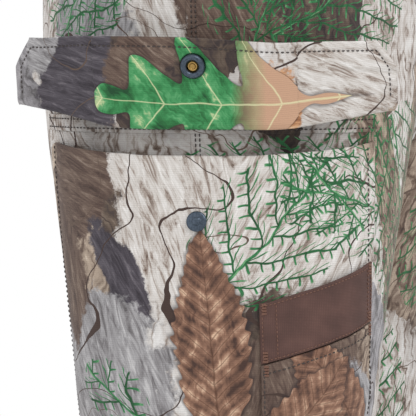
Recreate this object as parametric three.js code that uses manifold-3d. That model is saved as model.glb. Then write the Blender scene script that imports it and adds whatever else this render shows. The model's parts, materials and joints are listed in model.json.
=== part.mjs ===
// Chest waders: a stocking-cut fabric body standing as if worn, with bonded rubber boots, elastic
// shoulder straps, a wading belt, a zipped chest pocket and a flapped cargo pocket on each thigh.
//
// Millimetres, +Z up, origin on the floor at the middle of the ground that the waders cover. The
// wearer faces -Y, so the wearer's right leg is at -X. Leg pieces are built in a leg frame
// (out, fwd, z): out points away from the other leg and fwd points the way the wearer faces.
import * as THREE from "three";
import { mergeVertices } from "three/addons/utils/BufferGeometryUtils.js";
import Module from "manifold-3d";

const wasm = await Module();
wasm.setup();

// ---- driving dimensions ----------------------------------------------------------------------
const FABRIC = 3; // wall of the lined body fabric
const SEAM = 0.4; // gap between two pieces that are sewn or bonded face to face
const LAYER = 0.6; // gap under a piece that is sewn flat on the one below it
const LOOSE = 2; // gap under a piece that lies loose or crosses folds

const CROTCH_Z = 815; // hip seam, where the legs join the upper body
const HIP_WIDTH = 416;
const HIP_DEPTH = 243;
const BIB_FRONT_Z = CROTCH_Z + 505; // the bib's top edge, in front
const BIB_SIDE_Z = CROTCH_Z + 350;
const BIB_BACK_Z = CROTCH_Z + 425;
const BIB_FRONT_HALF = 118; // half width of the level part of the bib's top edge, in front
const BIB_BACK_HALF = 95;
const LEG_GAP = 3; // slit between the legs below the crotch
const FOOTPRINT_SHIFT = 38; // the body's axis lies this far behind the middle of the footprint
const LEG_HEM_Z = 370;
const BOOT_TOP_Z = 402;
const SOLE = 22; // outsole thickness

const POCKET_DROP = 115; // cargo pocket mouth below the hip seam
const POCKET_HEIGHT = 190;
const POCKET_HALF = 110; // half width along the thigh
const POCKET_WALL = 2;
const MOUTH_GAP = 5.4; // room behind the pocket's mouth
const POCKET_BELLY = 11; // room behind its middle
const MOUTH_SAG = 7;

const FLAP_RISE = 8; // flap hinge line above the pocket mouth
const FLAP_LENGTH = 62;
const FLAP_WALL = 2.4;
const FLAP_BAND_WALL = 1.2; // band that the flap is sewn to, thin so that it leaves the mouth clear
const FLAP_MIDDLE = 50; // half width of the flat middle of the flap
const FLAP_WING = 74; // length of each curved end past the middle
const FLAP_OPEN = 165; // degrees from hanging straight down
const FLAP_SHUT = 10;
const FLAP_CURL = 30; // how far an end turns towards the leg
const SNAP_DROP = 46; // snap centre below the hinge line

const SNAP_RING_R = 7.8;
const SNAP_RING_HOLE_R = 3.3;
const SNAP_RING_HEIGHT = 3.4;
const SNAP_HEAD_R = 2.5;
const SNAP_HEAD_HEIGHT = 1.8;
const SNAP_BASE_R = 6.1;
const SNAP_BASE_HEIGHT = 1;
const SNAP_POST_R = 2.1;
const SNAP_CLEAR = 0.5;
const SNAP_SEAT = 1.6; // under the stud's foot, which leans with the shut flap

const CLIP_PANEL_FROM = 33; // clip panel's rear edge, forward of the pocket's centre line
const CLIP_PANEL_TO = 101;
const CLIP_PANEL_DROP = 85; // its top rear corner below the mouth
const CLIP_PANEL_HEIGHT = 35.5;
const CLIP_PANEL_SLANT = 0.33; // rise per unit forward
const PATCH_WALL = 1.2;

const CHEST_TOP = CROTCH_Z + 425; // top of the chest pocket
const CHEST_HEIGHT = 158;
const CHEST_HALF = 112;
const CHEST_ROOM = 3.5;

const BELT_Z = CROTCH_Z + 205;
const BELT_WIDTH = 50;
const BELT_WALL = 2.2;
const STRAP_WIDTH = 38;
const STRAP_WALL = 2;
const STRAP_X = 104; // front straps, either side of the middle
const STRAP_TOP_Z = BIB_FRONT_Z + 172;
const BUCKLE_WIDTH = 50;
const BUCKLE_DEPTH = 9;
const BUCKLE_WALL = 1.8;
const BUCKLE_TRAVEL = 28;

// ---- small maths -----------------------------------------------------------------------------
const rad = THREE.MathUtils.degToRad;
const { lerp, smoothstep } = THREE.MathUtils;
const V = (x, y, z) => new THREE.Vector3(x, y, z);
const steps = (n, from, to) => Array.from({ length: n + 1 }, (_, i) => lerp(from, to, i / n));

// Value at height z of a smooth curve through stations listed from low to high as [z, value].
function along(stations, z) {
  const last = stations.length - 1;
  if (z <= stations[0][0]) return stations[0][1];
  if (z >= stations[last][0]) return stations[last][1];
  const i = stations.findIndex((s) => s[0] > z) - 1;
  const slope = (k) => {
    const a = stations[Math.max(k - 1, 0)];
    const b = stations[Math.min(k + 1, last)];
    return (b[1] - a[1]) / (b[0] - a[0]);
  };
  const [z0, v0] = stations[i];
  const [z1, v1] = stations[i + 1];
  const h = z1 - z0;
  const t = (z - z0) / h;
  const bend0 = (slope(i) * h - (v1 - v0)) * (1 - t);
  const bend1 = (slope(i + 1) * h - (v1 - v0)) * t;
  return lerp(v0, v1, t) + t * (1 - t) * (bend0 - bend1);
}

// Radius of a superellipse of half sizes a and b, in direction angle.
function squarishRadius(angle, a, b, power) {
  const c = Math.abs(Math.cos(angle) / a) ** power;
  const s = Math.abs(Math.sin(angle) / b) ** power;
  return (c + s) ** (-1 / power);
}

// ---- closed bodies from grids of points ------------------------------------------------------
function bodyFrom(points, triangles) {
  const geometry = new THREE.BufferGeometry();
  const flat = points.flatMap((p) => [p.x, p.y, p.z]);
  geometry.setAttribute("position", new THREE.Float32BufferAttribute(flat, 3));
  let volume = 0;
  const cross = V(0, 0, 0);
  for (const [a, b, c] of triangles) {
    volume += points[a].dot(cross.crossVectors(points[b], points[c]));
  }
  const facing = volume > 0 ? triangles : triangles.map(([a, b, c]) => [a, c, b]);
  geometry.setIndex(facing.flat());
  return geometry;
}

// Skin between two grids of points with the same rows and columns. A ring joins its last column
// to its first; a sheet closes its side edges.
function skin(outer, inner, ring = false) {
  const rows = outer.length;
  const cols = outer[0].length;
  const points = [...outer.flat(), ...inner.flat()];
  const at = (layer, r, c) => layer * rows * cols + r * cols + (c % cols);
  const triangles = [];
  const quad = (a, b, c, d) => triangles.push([a, b, c], [a, c, d]);
  const spans = ring ? cols : cols - 1;
  for (let c = 0; c < spans; c++) {
    for (let r = 0; r < rows - 1; r++) {
      quad(at(0, r, c), at(0, r, c + 1), at(0, r + 1, c + 1), at(0, r + 1, c));
      quad(at(1, r, c), at(1, r + 1, c), at(1, r + 1, c + 1), at(1, r, c + 1));
    }
    quad(at(0, 0, c), at(1, 0, c), at(1, 0, c + 1), at(0, 0, c + 1));
    const end = rows - 1;
    quad(at(0, end, c), at(0, end, c + 1), at(1, end, c + 1), at(1, end, c));
  }
  if (!ring) {
    for (let r = 0; r < rows - 1; r++) {
      const side = cols - 1;
      quad(at(0, r, 0), at(0, r + 1, 0), at(1, r + 1, 0), at(1, r, 0));
      quad(at(0, r, side), at(1, r, side), at(1, r + 1, side), at(0, r + 1, side));
    }
  }
  return bodyFrom(points, triangles);
}

// Stack of closed loops, capped at both ends.
function loft(loops) {
  const n = loops[0].length;
  const points = loops.flat();
  const triangles = [];
  for (let r = 0; r < loops.length - 1; r++) {
    for (let c = 0; c < n; c++) {
      const d = (c + 1) % n;
      triangles.push([r * n + c, r * n + d, (r + 1) * n + d]);
      triangles.push([r * n + c, (r + 1) * n + d, (r + 1) * n + c]);
    }
  }
  const top = (loops.length - 1) * n;
  for (let c = 1; c < n - 1; c++) {
    triangles.push([0, c + 1, c], [top, top + c, top + c + 1]);
  }
  return bodyFrom(points, triangles);
}

// A body turned about an axis: profile is [radius, height] from the axis point along axis.
function turned(profile, origin, axis, segments = 16) {
  const shape = profile.map(([r, h]) => new THREE.Vector2(r, h));
  const geometry = new THREE.LatheGeometry(shape, segments);
  geometry.applyQuaternion(new THREE.Quaternion().setFromUnitVectors(V(0, 1, 0), axis));
  geometry.translate(origin.x, origin.y, origin.z);
  return geometry;
}

// Flat outline in the plane of x and z, thickened along y from yFront to yBack.
function plate(shape, yFront, yBack, curveSegments = 2) {
  const depth = yBack - yFront;
  const geometry = new THREE.ExtrudeGeometry(shape, { depth, bevelEnabled: false, curveSegments });
  geometry.rotateX(Math.PI / 2);
  geometry.translate(0, yBack, 0);
  return geometry;
}

function roundedBox(cx, cz, width, height, radius, Kind = THREE.Shape) {
  const x = cx - width / 2;
  const z = cz - height / 2;
  const r = Math.min(radius, width / 2 - 0.01, height / 2 - 0.01);
  const shape = new Kind();
  shape.moveTo(x + r, z).lineTo(x + width - r, z);
  shape.absarc(x + width - r, z + r, r, -Math.PI / 2, 0);
  shape.lineTo(x + width, z + height - r);
  shape.absarc(x + width - r, z + height - r, r, 0, Math.PI / 2);
  shape.lineTo(x + r, z + height);
  shape.absarc(x + r, z + height - r, r, Math.PI / 2, Math.PI);
  shape.lineTo(x, z + r);
  shape.absarc(x + r, z + r, r, Math.PI, 1.5 * Math.PI);
  return shape;
}

// ---- booleans --------------------------------------------------------------------------------
function solid(geometry) {
  const bare = geometry.index ? geometry.clone() : geometry;
  for (const name of ["normal", "uv"]) bare.deleteAttribute(name);
  const merged = mergeVertices(bare, 1e-4);
  return new wasm.Manifold(
    new wasm.Mesh({
      numProp: 3,
      vertProperties: merged.attributes.position.array,
      triVerts: new Uint32Array(merged.index.array),
    }),
  );
}

function geometryOf(manifold) {
  const mesh = manifold.getMesh();
  const geometry = new THREE.BufferGeometry();
  const position = new THREE.BufferAttribute(new Float32Array(mesh.vertProperties), 3);
  geometry.setAttribute("position", position);
  geometry.setIndex(new THREE.BufferAttribute(mesh.triVerts, 1));
  return geometry;
}

const common = (a, b) => geometryOf(solid(a).intersect(solid(b)));
const cut = (a, ...tools) => geometryOf(tools.reduce((s, t) => s.subtract(solid(t)), solid(a)));
const join = (a, ...more) => geometryOf(more.reduce((s, t) => s.add(solid(t)), solid(a)));

// Puts a mirrored body's faces the right way out again.
function turnInsideOut(geometry) {
  const order = geometry.index.array;
  for (let i = 0; i < order.length; i += 3) {
    [order[i], order[i + 1]] = [order[i + 1], order[i]];
  }
}

function block(x0, x1, y0, y1, z0, z1) {
  const geometry = new THREE.BoxGeometry(x1 - x0, y1 - y0, z1 - z0);
  return geometry.translate((x0 + x1) / 2, (y0 + y1) / 2, (z0 + z1) / 2);
}

// ---- materials and the group -----------------------------------------------------------------
const finish = (color, roughness, metalness = 0) =>
  new THREE.MeshStandardMaterial({ color, roughness, metalness });
const CAMO = finish("#8b8178", 0.85);
const BROWN = finish("#5e4744", 0.8);
const WEBBING = finish("#3b332c", 0.8);
const RUBBER = finish("#3a3229", 0.6);
const SOLE_RUBBER = finish("#2a2622", 0.75);
const KNEE = finish("#5a4c42", 0.8);
const PLASTIC = finish("#2b2a28", 0.45);
const GUNMETAL = finish("#434c58", 0.3, 0.9);
const BRASS = finish("#b39a5e", 0.35, 0.9);
const FOAM = finish("#4a4a4a", 0.9);

const waders = new THREE.Group();
waders.position.y = FOOTPRINT_SHIFT;
function add(name, geometry, material) {
  const mesh = new THREE.Mesh(geometry, material);
  mesh.name = name;
  waders.add(mesh);
}

// ---- upper body ------------------------------------------------------------------------------
const TORSO_POWER = 2.5;
const SEAT_Z = lerp(CROTCH_Z, BELT_Z, 0.439); // fullest part of the seat
const TORSO_HALF_WIDTH = [
  [CROTCH_Z, HIP_WIDTH / 2],
  [SEAT_Z, HIP_WIDTH / 2 + 6],
  [BELT_Z, HIP_WIDTH / 2 - 5],
  [BIB_SIDE_Z, HIP_WIDTH / 2 + 6],
  [BIB_FRONT_Z, HIP_WIDTH / 2 - 2],
];
const TORSO_HALF_DEPTH = [
  [CROTCH_Z, HIP_DEPTH / 2],
  [SEAT_Z, HIP_DEPTH / 2 + 14],
  [BELT_Z, HIP_DEPTH / 2 + 12.5],
  [BIB_SIDE_Z, HIP_DEPTH / 2 + 20.5],
  [BIB_FRONT_Z, HIP_DEPTH / 2 + 18.5],
];

// Point on the upper body at angle from +X towards the front, off outside the cloth's outer face.
function torsoAt(angle, z, off = 0) {
  const surface = (a, h) => {
    const width = along(TORSO_HALF_WIDTH, h);
    const r = squarishRadius(a, width, along(TORSO_HALF_DEPTH, h), TORSO_POWER);
    return V(r * Math.cos(a), -r * Math.sin(a), h);
  };
  const p = surface(angle, z);
  const acrossStep = surface(angle + 0.01, z).sub(surface(angle - 0.01, z));
  const upStep = surface(angle, z + 1).sub(surface(angle, z - 1));
  return p.addScaledVector(upStep.cross(acrossStep).normalize(), off);
}

function bibTop(angle) {
  const x = Math.abs(torsoAt(angle, CROTCH_Z).x);
  if (Math.sin(angle) > 0) {
    return lerp(BIB_FRONT_Z, BIB_SIDE_Z, smoothstep(x, BIB_FRONT_HALF, BIB_FRONT_HALF + 88));
  }
  return lerp(BIB_BACK_Z, BIB_SIDE_Z, smoothstep(x, BIB_BACK_HALF, BIB_BACK_HALF + 105));
}

// Angles from one to another that include every fold line of the body's facets between them, so
// that what is wrapped round the body lies on its facets.
const TORSO_FACETS = 20; // round half the body
function torsoAngles(from, to) {
  const facet = Math.PI / TORSO_FACETS;
  const inside = [];
  for (let k = Math.ceil(from / facet + 0.01); k * facet < to - 0.01 * facet; k++) inside.push(k * facet);
  return [from, ...inside, to];
}

function torsoPanel(from, to) {
  const grid = (off) =>
    steps(8, 0, 1).map((v) =>
      torsoAngles(from, to).map((a) => torsoAt(a, lerp(CROTCH_Z + SEAM, bibTop(a), v), off)),
    );
  return skin(grid(0), grid(-FABRIC));
}

const SIDE_SEAM = 0.001; // half the angle left open at a side seam
add("bib_front", torsoPanel(SIDE_SEAM, Math.PI - SIDE_SEAM), CAMO);
add("bib_back", torsoPanel(-Math.PI + SIDE_SEAM, -SIDE_SEAM), CAMO);

// Saddle strip that closes the slit between the legs from inside.
const gussetHalf = HIP_DEPTH / 2 - FABRIC - 4;
add(
  "crotch_gusset",
  block(-16, 16, -gussetHalf, gussetHalf, CROTCH_Z + SEAM, CROTCH_Z + SEAM + FABRIC),
  CAMO,
);

// ---- legs ------------------------------------------------------------------------------------
const LEG_POWER = 2.4;
const LEG_MERGE = 150; // height over which a round leg turns into half of the hips
const HIP_CENTRE = HIP_WIDTH / 4;
const SHIN_Z = LEG_HEM_Z - 30;
const legHeight = (share) => SHIN_Z + share * (CROTCH_Z - SHIN_Z);
const CALF_Z = legHeight(0.2947);
const KNEE_Z = legHeight(0.4632);
const THIGH_Z = legHeight(0.7579);
const LEG_STATIONS = {
  halfWidth: [[SHIN_Z, 77], [CALF_Z, 81], [KNEE_Z, 86], [THIGH_Z, 97], [CROTCH_Z, 103]],
  halfDepth: [[SHIN_Z, 80], [CALF_Z, 83], [KNEE_Z, 88], [THIGH_Z, 107.5], [CROTCH_Z, HIP_DEPTH / 2]],
  out: [[SHIN_Z, 121], [CALF_Z, 117], [KNEE_Z, 114], [THIGH_Z, 108], [CROTCH_Z, HIP_CENTRE]],
  fwd: [[SHIN_Z, -2], [CALF_Z, 5], [KNEE_Z, 6], [THIGH_Z, 3], [CROTCH_Z, 0]],
};

// Radius of one half of the hips, seen from that leg's centre.
function halfHipRadius(phi) {
  const half = HIP_WIDTH / 2;
  const depth = HIP_DEPTH / 2;
  const outside = (r) =>
    Math.abs((HIP_CENTRE + r * Math.cos(phi)) / half) ** TORSO_POWER +
      Math.abs((r * Math.sin(phi)) / depth) ** TORSO_POWER > 1;
  let low = 0;
  let high = HIP_WIDTH;
  for (let i = 0; i < 24; i++) {
    const r = (low + high) / 2;
    if (outside(r)) high = r;
    else low = r;
  }
  const inwards = -Math.cos(phi);
  const toMiddle = inwards > 0.01 ? (HIP_CENTRE - LEG_GAP / 2) / inwards : Infinity;
  return Math.min(low, toMiddle);
}

// Point on a leg in the leg frame. phi is 0 at the outside and positive towards the front.
function legAt(phi, z, off = 0) {
  const surface = (a, h) => {
    const width = along(LEG_STATIONS.halfWidth, h);
    const round = squarishRadius(a, width, along(LEG_STATIONS.halfDepth, h), LEG_POWER);
    const merge = smoothstep(h, CROTCH_Z - LEG_MERGE, CROTCH_Z);
    const r = merge > 0 ? lerp(round, halfHipRadius(a), merge) : round;
    const out = along(LEG_STATIONS.out, h) + r * Math.cos(a);
    return V(out, along(LEG_STATIONS.fwd, h) + r * Math.sin(a), h);
  };
  const p = surface(phi, z);
  if (off === 0) return p;
  const acrossStep = surface(phi + 0.02, z).sub(surface(phi - 0.02, z));
  const upStep = surface(phi, z + 2).sub(surface(phi, z - 2));
  return p.addScaledVector(acrossStep.cross(upStep).normalize(), off);
}

// Angle at which the girth from the outside line reaches s, positive towards the front.
function angleAt(s, z) {
  const step = s < 0 ? -0.02 : 0.02;
  let phi = 0;
  let left = Math.abs(s);
  let p = legAt(0, z);
  for (;;) {
    const q = legAt(phi + step, z);
    const d = q.distanceTo(p);
    if (d >= left || Math.abs(phi) > 3) return phi + step * (left / d);
    left -= d;
    phi += step;
    p = q;
  }
}
const girthAt = (s, z, off) => legAt(angleAt(s, z), z, off);

// From the leg frame to the part's frame. side is -1 for the wearer's right and 1 for the left.
const placed = (side, p) => V(side * p.x, -p.y, p.z);
const placedGrid = (side, rows) => rows.map((row) => row.map((p) => placed(side, p)));

function legPanel(side, from, to) {
  const grid = (off) =>
    placedGrid(
      side,
      steps(11, LEG_HEM_Z, CROTCH_Z - SEAM / 2).map((z) =>
        steps(14, from, to).map((phi) => legAt(phi, z, off)),
      ),
    );
  return skin(grid(0), grid(-FABRIC));
}

const LEG_SEAM = 0.003;
const MOUTH_Z = CROTCH_Z - POCKET_DROP; // mouth of the cargo pockets
const KNEE_HALF = 0.82; // half the angle that a knee patch covers
const KNEE_LOW = LEG_HEM_Z + 26;
const KNEE_TOP = MOUTH_Z - POCKET_HEIGHT - 6; // just below the cargo pocket
const KNEE_WALL = 2.5;
const kneeGrid = (off) =>
  steps(4, KNEE_LOW, KNEE_TOP).map((z) => {
    const share = (2 * (z - KNEE_LOW)) / (KNEE_TOP - KNEE_LOW) - 1;
    const half = KNEE_HALF * (1 - 0.12 * share ** 4);
    return steps(8, Math.PI / 2 - half, Math.PI / 2 + half).map((phi) => legAt(phi, z, off));
  });

const BAND_OFF = LAYER + 2;
const bandGrid = (off) =>
  steps(2, LEG_HEM_Z - 14, LEG_HEM_Z + 18).map((z) =>
    Array.from({ length: 28 }, (_, i) => legAt((i / 28) * 2 * Math.PI, z, off)),
  );

// ---- boots -----------------------------------------------------------------------------------
// Each ring of a boot runs from an instep point to a heel or sole point, as [fwd, z], and is
// 2 * half wide. The boot's middle is FOOT_OUT from the waders' middle.
const FOOT_OUT = along(LEG_STATIONS.out, 0);
const BOOT_WALL = 4;
const SHAFT_GAP = 1.4; // between the boot's shaft and the leg's lining

// Ring of the shaft at height z, just inside the leg.
function shaftRing(z) {
  const depth = along(LEG_STATIONS.halfDepth, z) - FABRIC - SHAFT_GAP;
  const fwd = along(LEG_STATIONS.fwd, z);
  const half = along(LEG_STATIONS.halfWidth, z) - FABRIC - SHAFT_GAP;
  const shift = along(LEG_STATIONS.out, z) - FOOT_OUT;
  return { front: [fwd + depth, z], back: [fwd - depth, z], half, shift };
}
const BOOT_RINGS = [
  shaftRing(BOOT_TOP_Z),
  shaftRing(LEG_HEM_Z),
  { front: [73, 300], back: [-73, 298], half: 67 },
  { front: [64, 200], back: [-67, 185], half: 54 },
  { front: [62, 152], back: [-66, 118], half: 46 },
  { front: [76, 126], back: [-77, 50], half: 44 },
  { front: [100, 108], back: [-70, -14], half: 46 },
  { front: [130, 95], back: [30, -16], half: 50 },
  { front: [162, 86], back: [104, -16], half: 54 },
  { front: [192, 72], back: [160, -16], half: 51 },
  { front: [211, 54], back: [196, -12], half: 38 },
  { front: [218, 40], back: [214, 0], half: 22 },
];

const BOOT_FACETS = 20;
function bootLoops(inset) {
  return BOOT_RINGS.map(({ front, back, half, shift = 0 }, i) => {
    const middle = V(shift, (front[0] + back[0]) / 2, (front[1] + back[1]) / 2);
    const reach = V(0, (front[0] - back[0]) / 2, (front[1] - back[1]) / 2);
    const long = reach.length();
    const last = i === BOOT_RINGS.length - 1;
    if (last) middle.y -= inset;
    return Array.from({ length: BOOT_FACETS }, (_, k) => {
      const a = (k / BOOT_FACETS) * 2 * Math.PI;
      const wide = squarishRadius(a, half - inset, long - inset, LEG_POWER);
      const side = wide * Math.cos(a);
      return middle.clone().addScaledVector(reach, (wide * Math.sin(a)) / long).add(V(side, 0, 0));
    });
  });
}

function bootUpper() {
  const outer = bootLoops(0);
  const inner = bootLoops(BOOT_WALL);
  inner[0] = inner[0].map((p) => p.clone().setZ(p.z + 1));
  const below = block(-200, 200, -300, 300, -50, SOLE + LAYER);
  return cut(loft(outer), loft(inner), below);
}

// Sole outline seen from above, (side, fwd), grown by margin past the upper.
function soleOutline(margin) {
  const points = [
    [0, -78], [30, -70], [41, -40], [42, 10], [47, 60], [54, 120], [52, 160], [42, 194], [22, 216],
  ];
  const right = points.map(([x, y]) => new THREE.Vector2(x, y));
  const left = points.slice(1).reverse().map(([x, y]) => new THREE.Vector2(-x, y));
  const ring = [...right, new THREE.Vector2(0, 222), ...left];
  const centre = new THREE.Vector2(0, 70);
  const curve = new THREE.SplineCurve([...ring, ring[0]]);
  const smooth = curve.getPoints(40).slice(0, -1);
  return new THREE.Shape(
    smooth.map((p) => {
      const away = p.clone().sub(centre);
      return p.clone().addScaledVector(away.normalize(), margin);
    }),
  );
}

function soleSlab(margin, z0, z1) {
  const shape = soleOutline(margin);
  return new THREE.ExtrudeGeometry(shape, { depth: z1 - z0, bevelEnabled: false }).translate(0, 0, z0);
}

const TREAD = 7;
function outsole() {
  const arch = block(-90, 90, -18, 34, -1, TREAD);
  return cut(soleSlab(3, 0, SOLE), arch);
}

const INSOLE_WALL = 4;
function insole() {
  const inside = loft(bootLoops(BOOT_WALL + LAYER));
  return common(inside, block(-90, 90, -90, 230, SOLE + LAYER, SOLE + LAYER + INSOLE_WALL));
}

// Boot pieces are modelled as a left boot with the toe towards +Y: out is +X there.
function bootPlaced(side, geometry) {
  const flip = side < 0 ? V(-1, -1, 1) : V(1, -1, 1);
  const placedBoot = geometry.clone().scale(flip.x, flip.y, flip.z);
  if (flip.x * flip.y < 0) turnInsideOut(placedBoot);
  return placedBoot.translate(side * FOOT_OUT, 0, 0);
}

// ---- cargo pockets ---------------------------------------------------------------------------
const mouthLine = (s) => MOUTH_Z + MOUTH_SAG * (s / POCKET_HALF) ** 2;

// Room between the leg and the pocket's front at girth s, share v of the way up.
function pocketRoom(s, v) {
  const across = 1 - Math.abs(s / POCKET_HALF) ** 3.5;
  const lift = v > 0.5 ? lerp(POCKET_BELLY, MOUTH_GAP, smoothstep(v, 0.5, 1)) : POCKET_BELLY;
  return LAYER + lift * Math.max(0, across) * smoothstep(v, 0, 0.22);
}

function pocketGrid(off) {
  return steps(8, 0, 1).map((v) =>
    steps(14, -POCKET_HALF, POCKET_HALF).map((s) => {
      const z = lerp(MOUTH_Z - POCKET_HEIGHT, mouthLine(s), v);
      return girthAt(s, z, pocketRoom(s, v) + off);
    }),
  );
}

// Patch on the pocket's front between two slanted edges.
function pocketPatch(zTop, zBottom, off) {
  const grid = (o) =>
    steps(5, 0, 1).map((u) =>
      steps(6, CLIP_PANEL_FROM, CLIP_PANEL_TO).map((s) => {
        const z = lerp(zBottom(s), zTop(s), u);
        const v = (z - (MOUTH_Z - POCKET_HEIGHT)) / (mouthLine(s) - MOUTH_Z + POCKET_HEIGHT);
        return girthAt(s, z, pocketRoom(s, v) + POCKET_WALL + o);
      }),
    );
  return [grid(off + PATCH_WALL), grid(off)];
}

const clipTop = (s) => MOUTH_Z - CLIP_PANEL_DROP + (s - CLIP_PANEL_FROM) * CLIP_PANEL_SLANT;
const clipBottom = (s) => clipTop(s) - CLIP_PANEL_HEIGHT;
const toolTop = (s) => clipBottom(s) - SEAM;
const toolBottom = () => MOUTH_Z - POCKET_HEIGHT + 16;

// ---- flaps -----------------------------------------------------------------------------------
// Flap frame: s along the hinge (positive forward), t from the hinge to the free edge, n out of
// the face that shows when the flap is shut. turn is the angle from hanging straight down, and
// curl turns the ends towards +n.
const HINGE_Z = MOUTH_Z + FLAP_RISE;

// Stack of a closed snap, measured from the flap's mid plane towards the pocket.
const RING_FROM = FLAP_WALL / 2 + LAYER;
const RING_TO = RING_FROM + SNAP_RING_HEIGHT;
const STUD_TOP = RING_TO + SNAP_CLEAR;
const STUD_FOOT = STUD_TOP + SNAP_BASE_HEIGHT;

// The hinge line stands off the leg so that a shut snap's foot just clears the pocket's front,
// and so that its free edge and the flap beside the mouth clear it too.
const standOff = (drop, clear) => {
  const z = HINGE_Z - drop * Math.cos(rad(FLAP_SHUT));
  const share = (z - MOUTH_Z + POCKET_HEIGHT) / POCKET_HEIGHT;
  const front = legAt(0, z).x + pocketRoom(0, share) + POCKET_WALL;
  return front + clear - drop * Math.sin(rad(FLAP_SHUT));
};
const MOUTH_CLEAR = 0.25;
const HINGE_OUT = Math.max(
  standOff(SNAP_DROP, SNAP_SEAT + STUD_FOOT),
  standOff(FLAP_LENGTH, FLAP_WALL / 2 + LOOSE),
  standOff(FLAP_RISE / Math.cos(rad(FLAP_SHUT)), FLAP_WALL / 2 + MOUTH_CLEAR),
);
const hingePoint = V(HINGE_OUT, legAt(0, HINGE_Z).y, HINGE_Z);

function flapAxes(turn) {
  const a = rad(turn);
  return { down: V(Math.sin(a), 0, -Math.cos(a)), face: V(Math.cos(a), 0, Math.sin(a)) };
}

function flapAt(s, t, n, turn, curl) {
  const { down, face } = flapAxes(turn);
  const point = hingePoint.clone().addScaledVector(down, t);
  const past = Math.abs(s) - FLAP_MIDDLE;
  if (past <= 0) return point.addScaledVector(V(0, 1, 0), s).addScaledVector(face, n);
  const c = Math.cos(rad(curl));
  const e = Math.sin(rad(curl));
  const sign = Math.sign(s);
  point.addScaledVector(V(0, 1, 0), sign * (FLAP_MIDDLE + past * c - n * e));
  return point.addScaledVector(face, past * e + n * c);
}

// Half width of the flap at distance t from the hinge: it widens a little, then its corners are cut.
function flapHalf(t) {
  const full = FLAP_MIDDLE + FLAP_WING;
  const widen = lerp(full - 7, full, smoothstep(t, 0, 0.3 * FLAP_LENGTH));
  const cutFrom = 0.34 * FLAP_LENGTH;
  return widen - 14 * Math.max(0, (t - cutFrom) / (FLAP_LENGTH - cutFrom));
}

const FLAP_ROOT = 1.5; // first cloth past the hinge line
const FOLD_GAP = 1.2; // half the gap between the middle and an end
function flapPiece(side, turn, curl, from, to) {
  const grid = (n) =>
    placedGrid(
      side,
      steps(5, FLAP_ROOT, FLAP_LENGTH).map((t) =>
        steps(5, 0, 1).map((u) => {
          const limit = (s) => Math.sign(s) * Math.min(Math.abs(s), flapHalf(t));
          return flapAt(lerp(limit(from), limit(to), u), t, n, turn, curl);
        }),
      ),
    );
  return skin(grid(FLAP_WALL / 2), grid(-FLAP_WALL / 2));
}

const flapBandGrid = (off) =>
  steps(1, HINGE_Z + 4, HINGE_Z + 14).map((z) =>
    steps(16, -POCKET_HALF - 4, POCKET_HALF + 4).map((s) => girthAt(s, z, off + LAYER)),
  );

function snapAxis(side, turn) {
  const axis = flapAxes(turn).face;
  return V(side * axis.x, 0, axis.z).normalize();
}

const POST_TO = RING_FROM + 1; // how far the cap's post stands into the ring

function snapRing(origin, axis) {
  const r0 = SNAP_RING_HOLE_R;
  const r1 = SNAP_RING_R;
  const profile = [
    [r0, -RING_TO + 1], [r0 + 1, -RING_TO], [r0 + 2.2, -RING_TO], [r1, -RING_TO + 1.6],
    [r1, -RING_FROM], [r0, -RING_FROM], [r0, -RING_TO + 1],
  ];
  return turned(profile, origin, axis);
}

function snapCap(origin, axis) {
  const profile = [
    [0, -POST_TO], [SNAP_POST_R, -POST_TO], [SNAP_POST_R, RING_FROM], [7.4, RING_FROM],
    [7.4, RING_FROM + 0.7], [6.2, RING_FROM + 1.5], [3, RING_FROM + 2], [0, RING_FROM + 2.1],
  ];
  return turned(profile, origin, axis);
}

// The stud's head enters the ring, and its post passes through the pocket's front.
function snapStud(origin, axis, through) {
  const base = STUD_TOP;
  const foot = STUD_FOOT;
  const head = base - SNAP_HEAD_HEIGHT;
  const neck = SNAP_HEAD_R - 0.6;
  const profile = [
    [0, -foot - through], [SNAP_POST_R, -foot - through], [SNAP_POST_R, -foot], [SNAP_BASE_R - 0.6, -foot],
    [SNAP_BASE_R, -foot + 0.4], [SNAP_BASE_R - 0.3, -base], [neck, -base], [SNAP_HEAD_R, -head - 0.7],
    [SNAP_HEAD_R - 0.3, -head - 0.1], [0, -head],
  ];
  return turned(profile, origin, axis);
}

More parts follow.
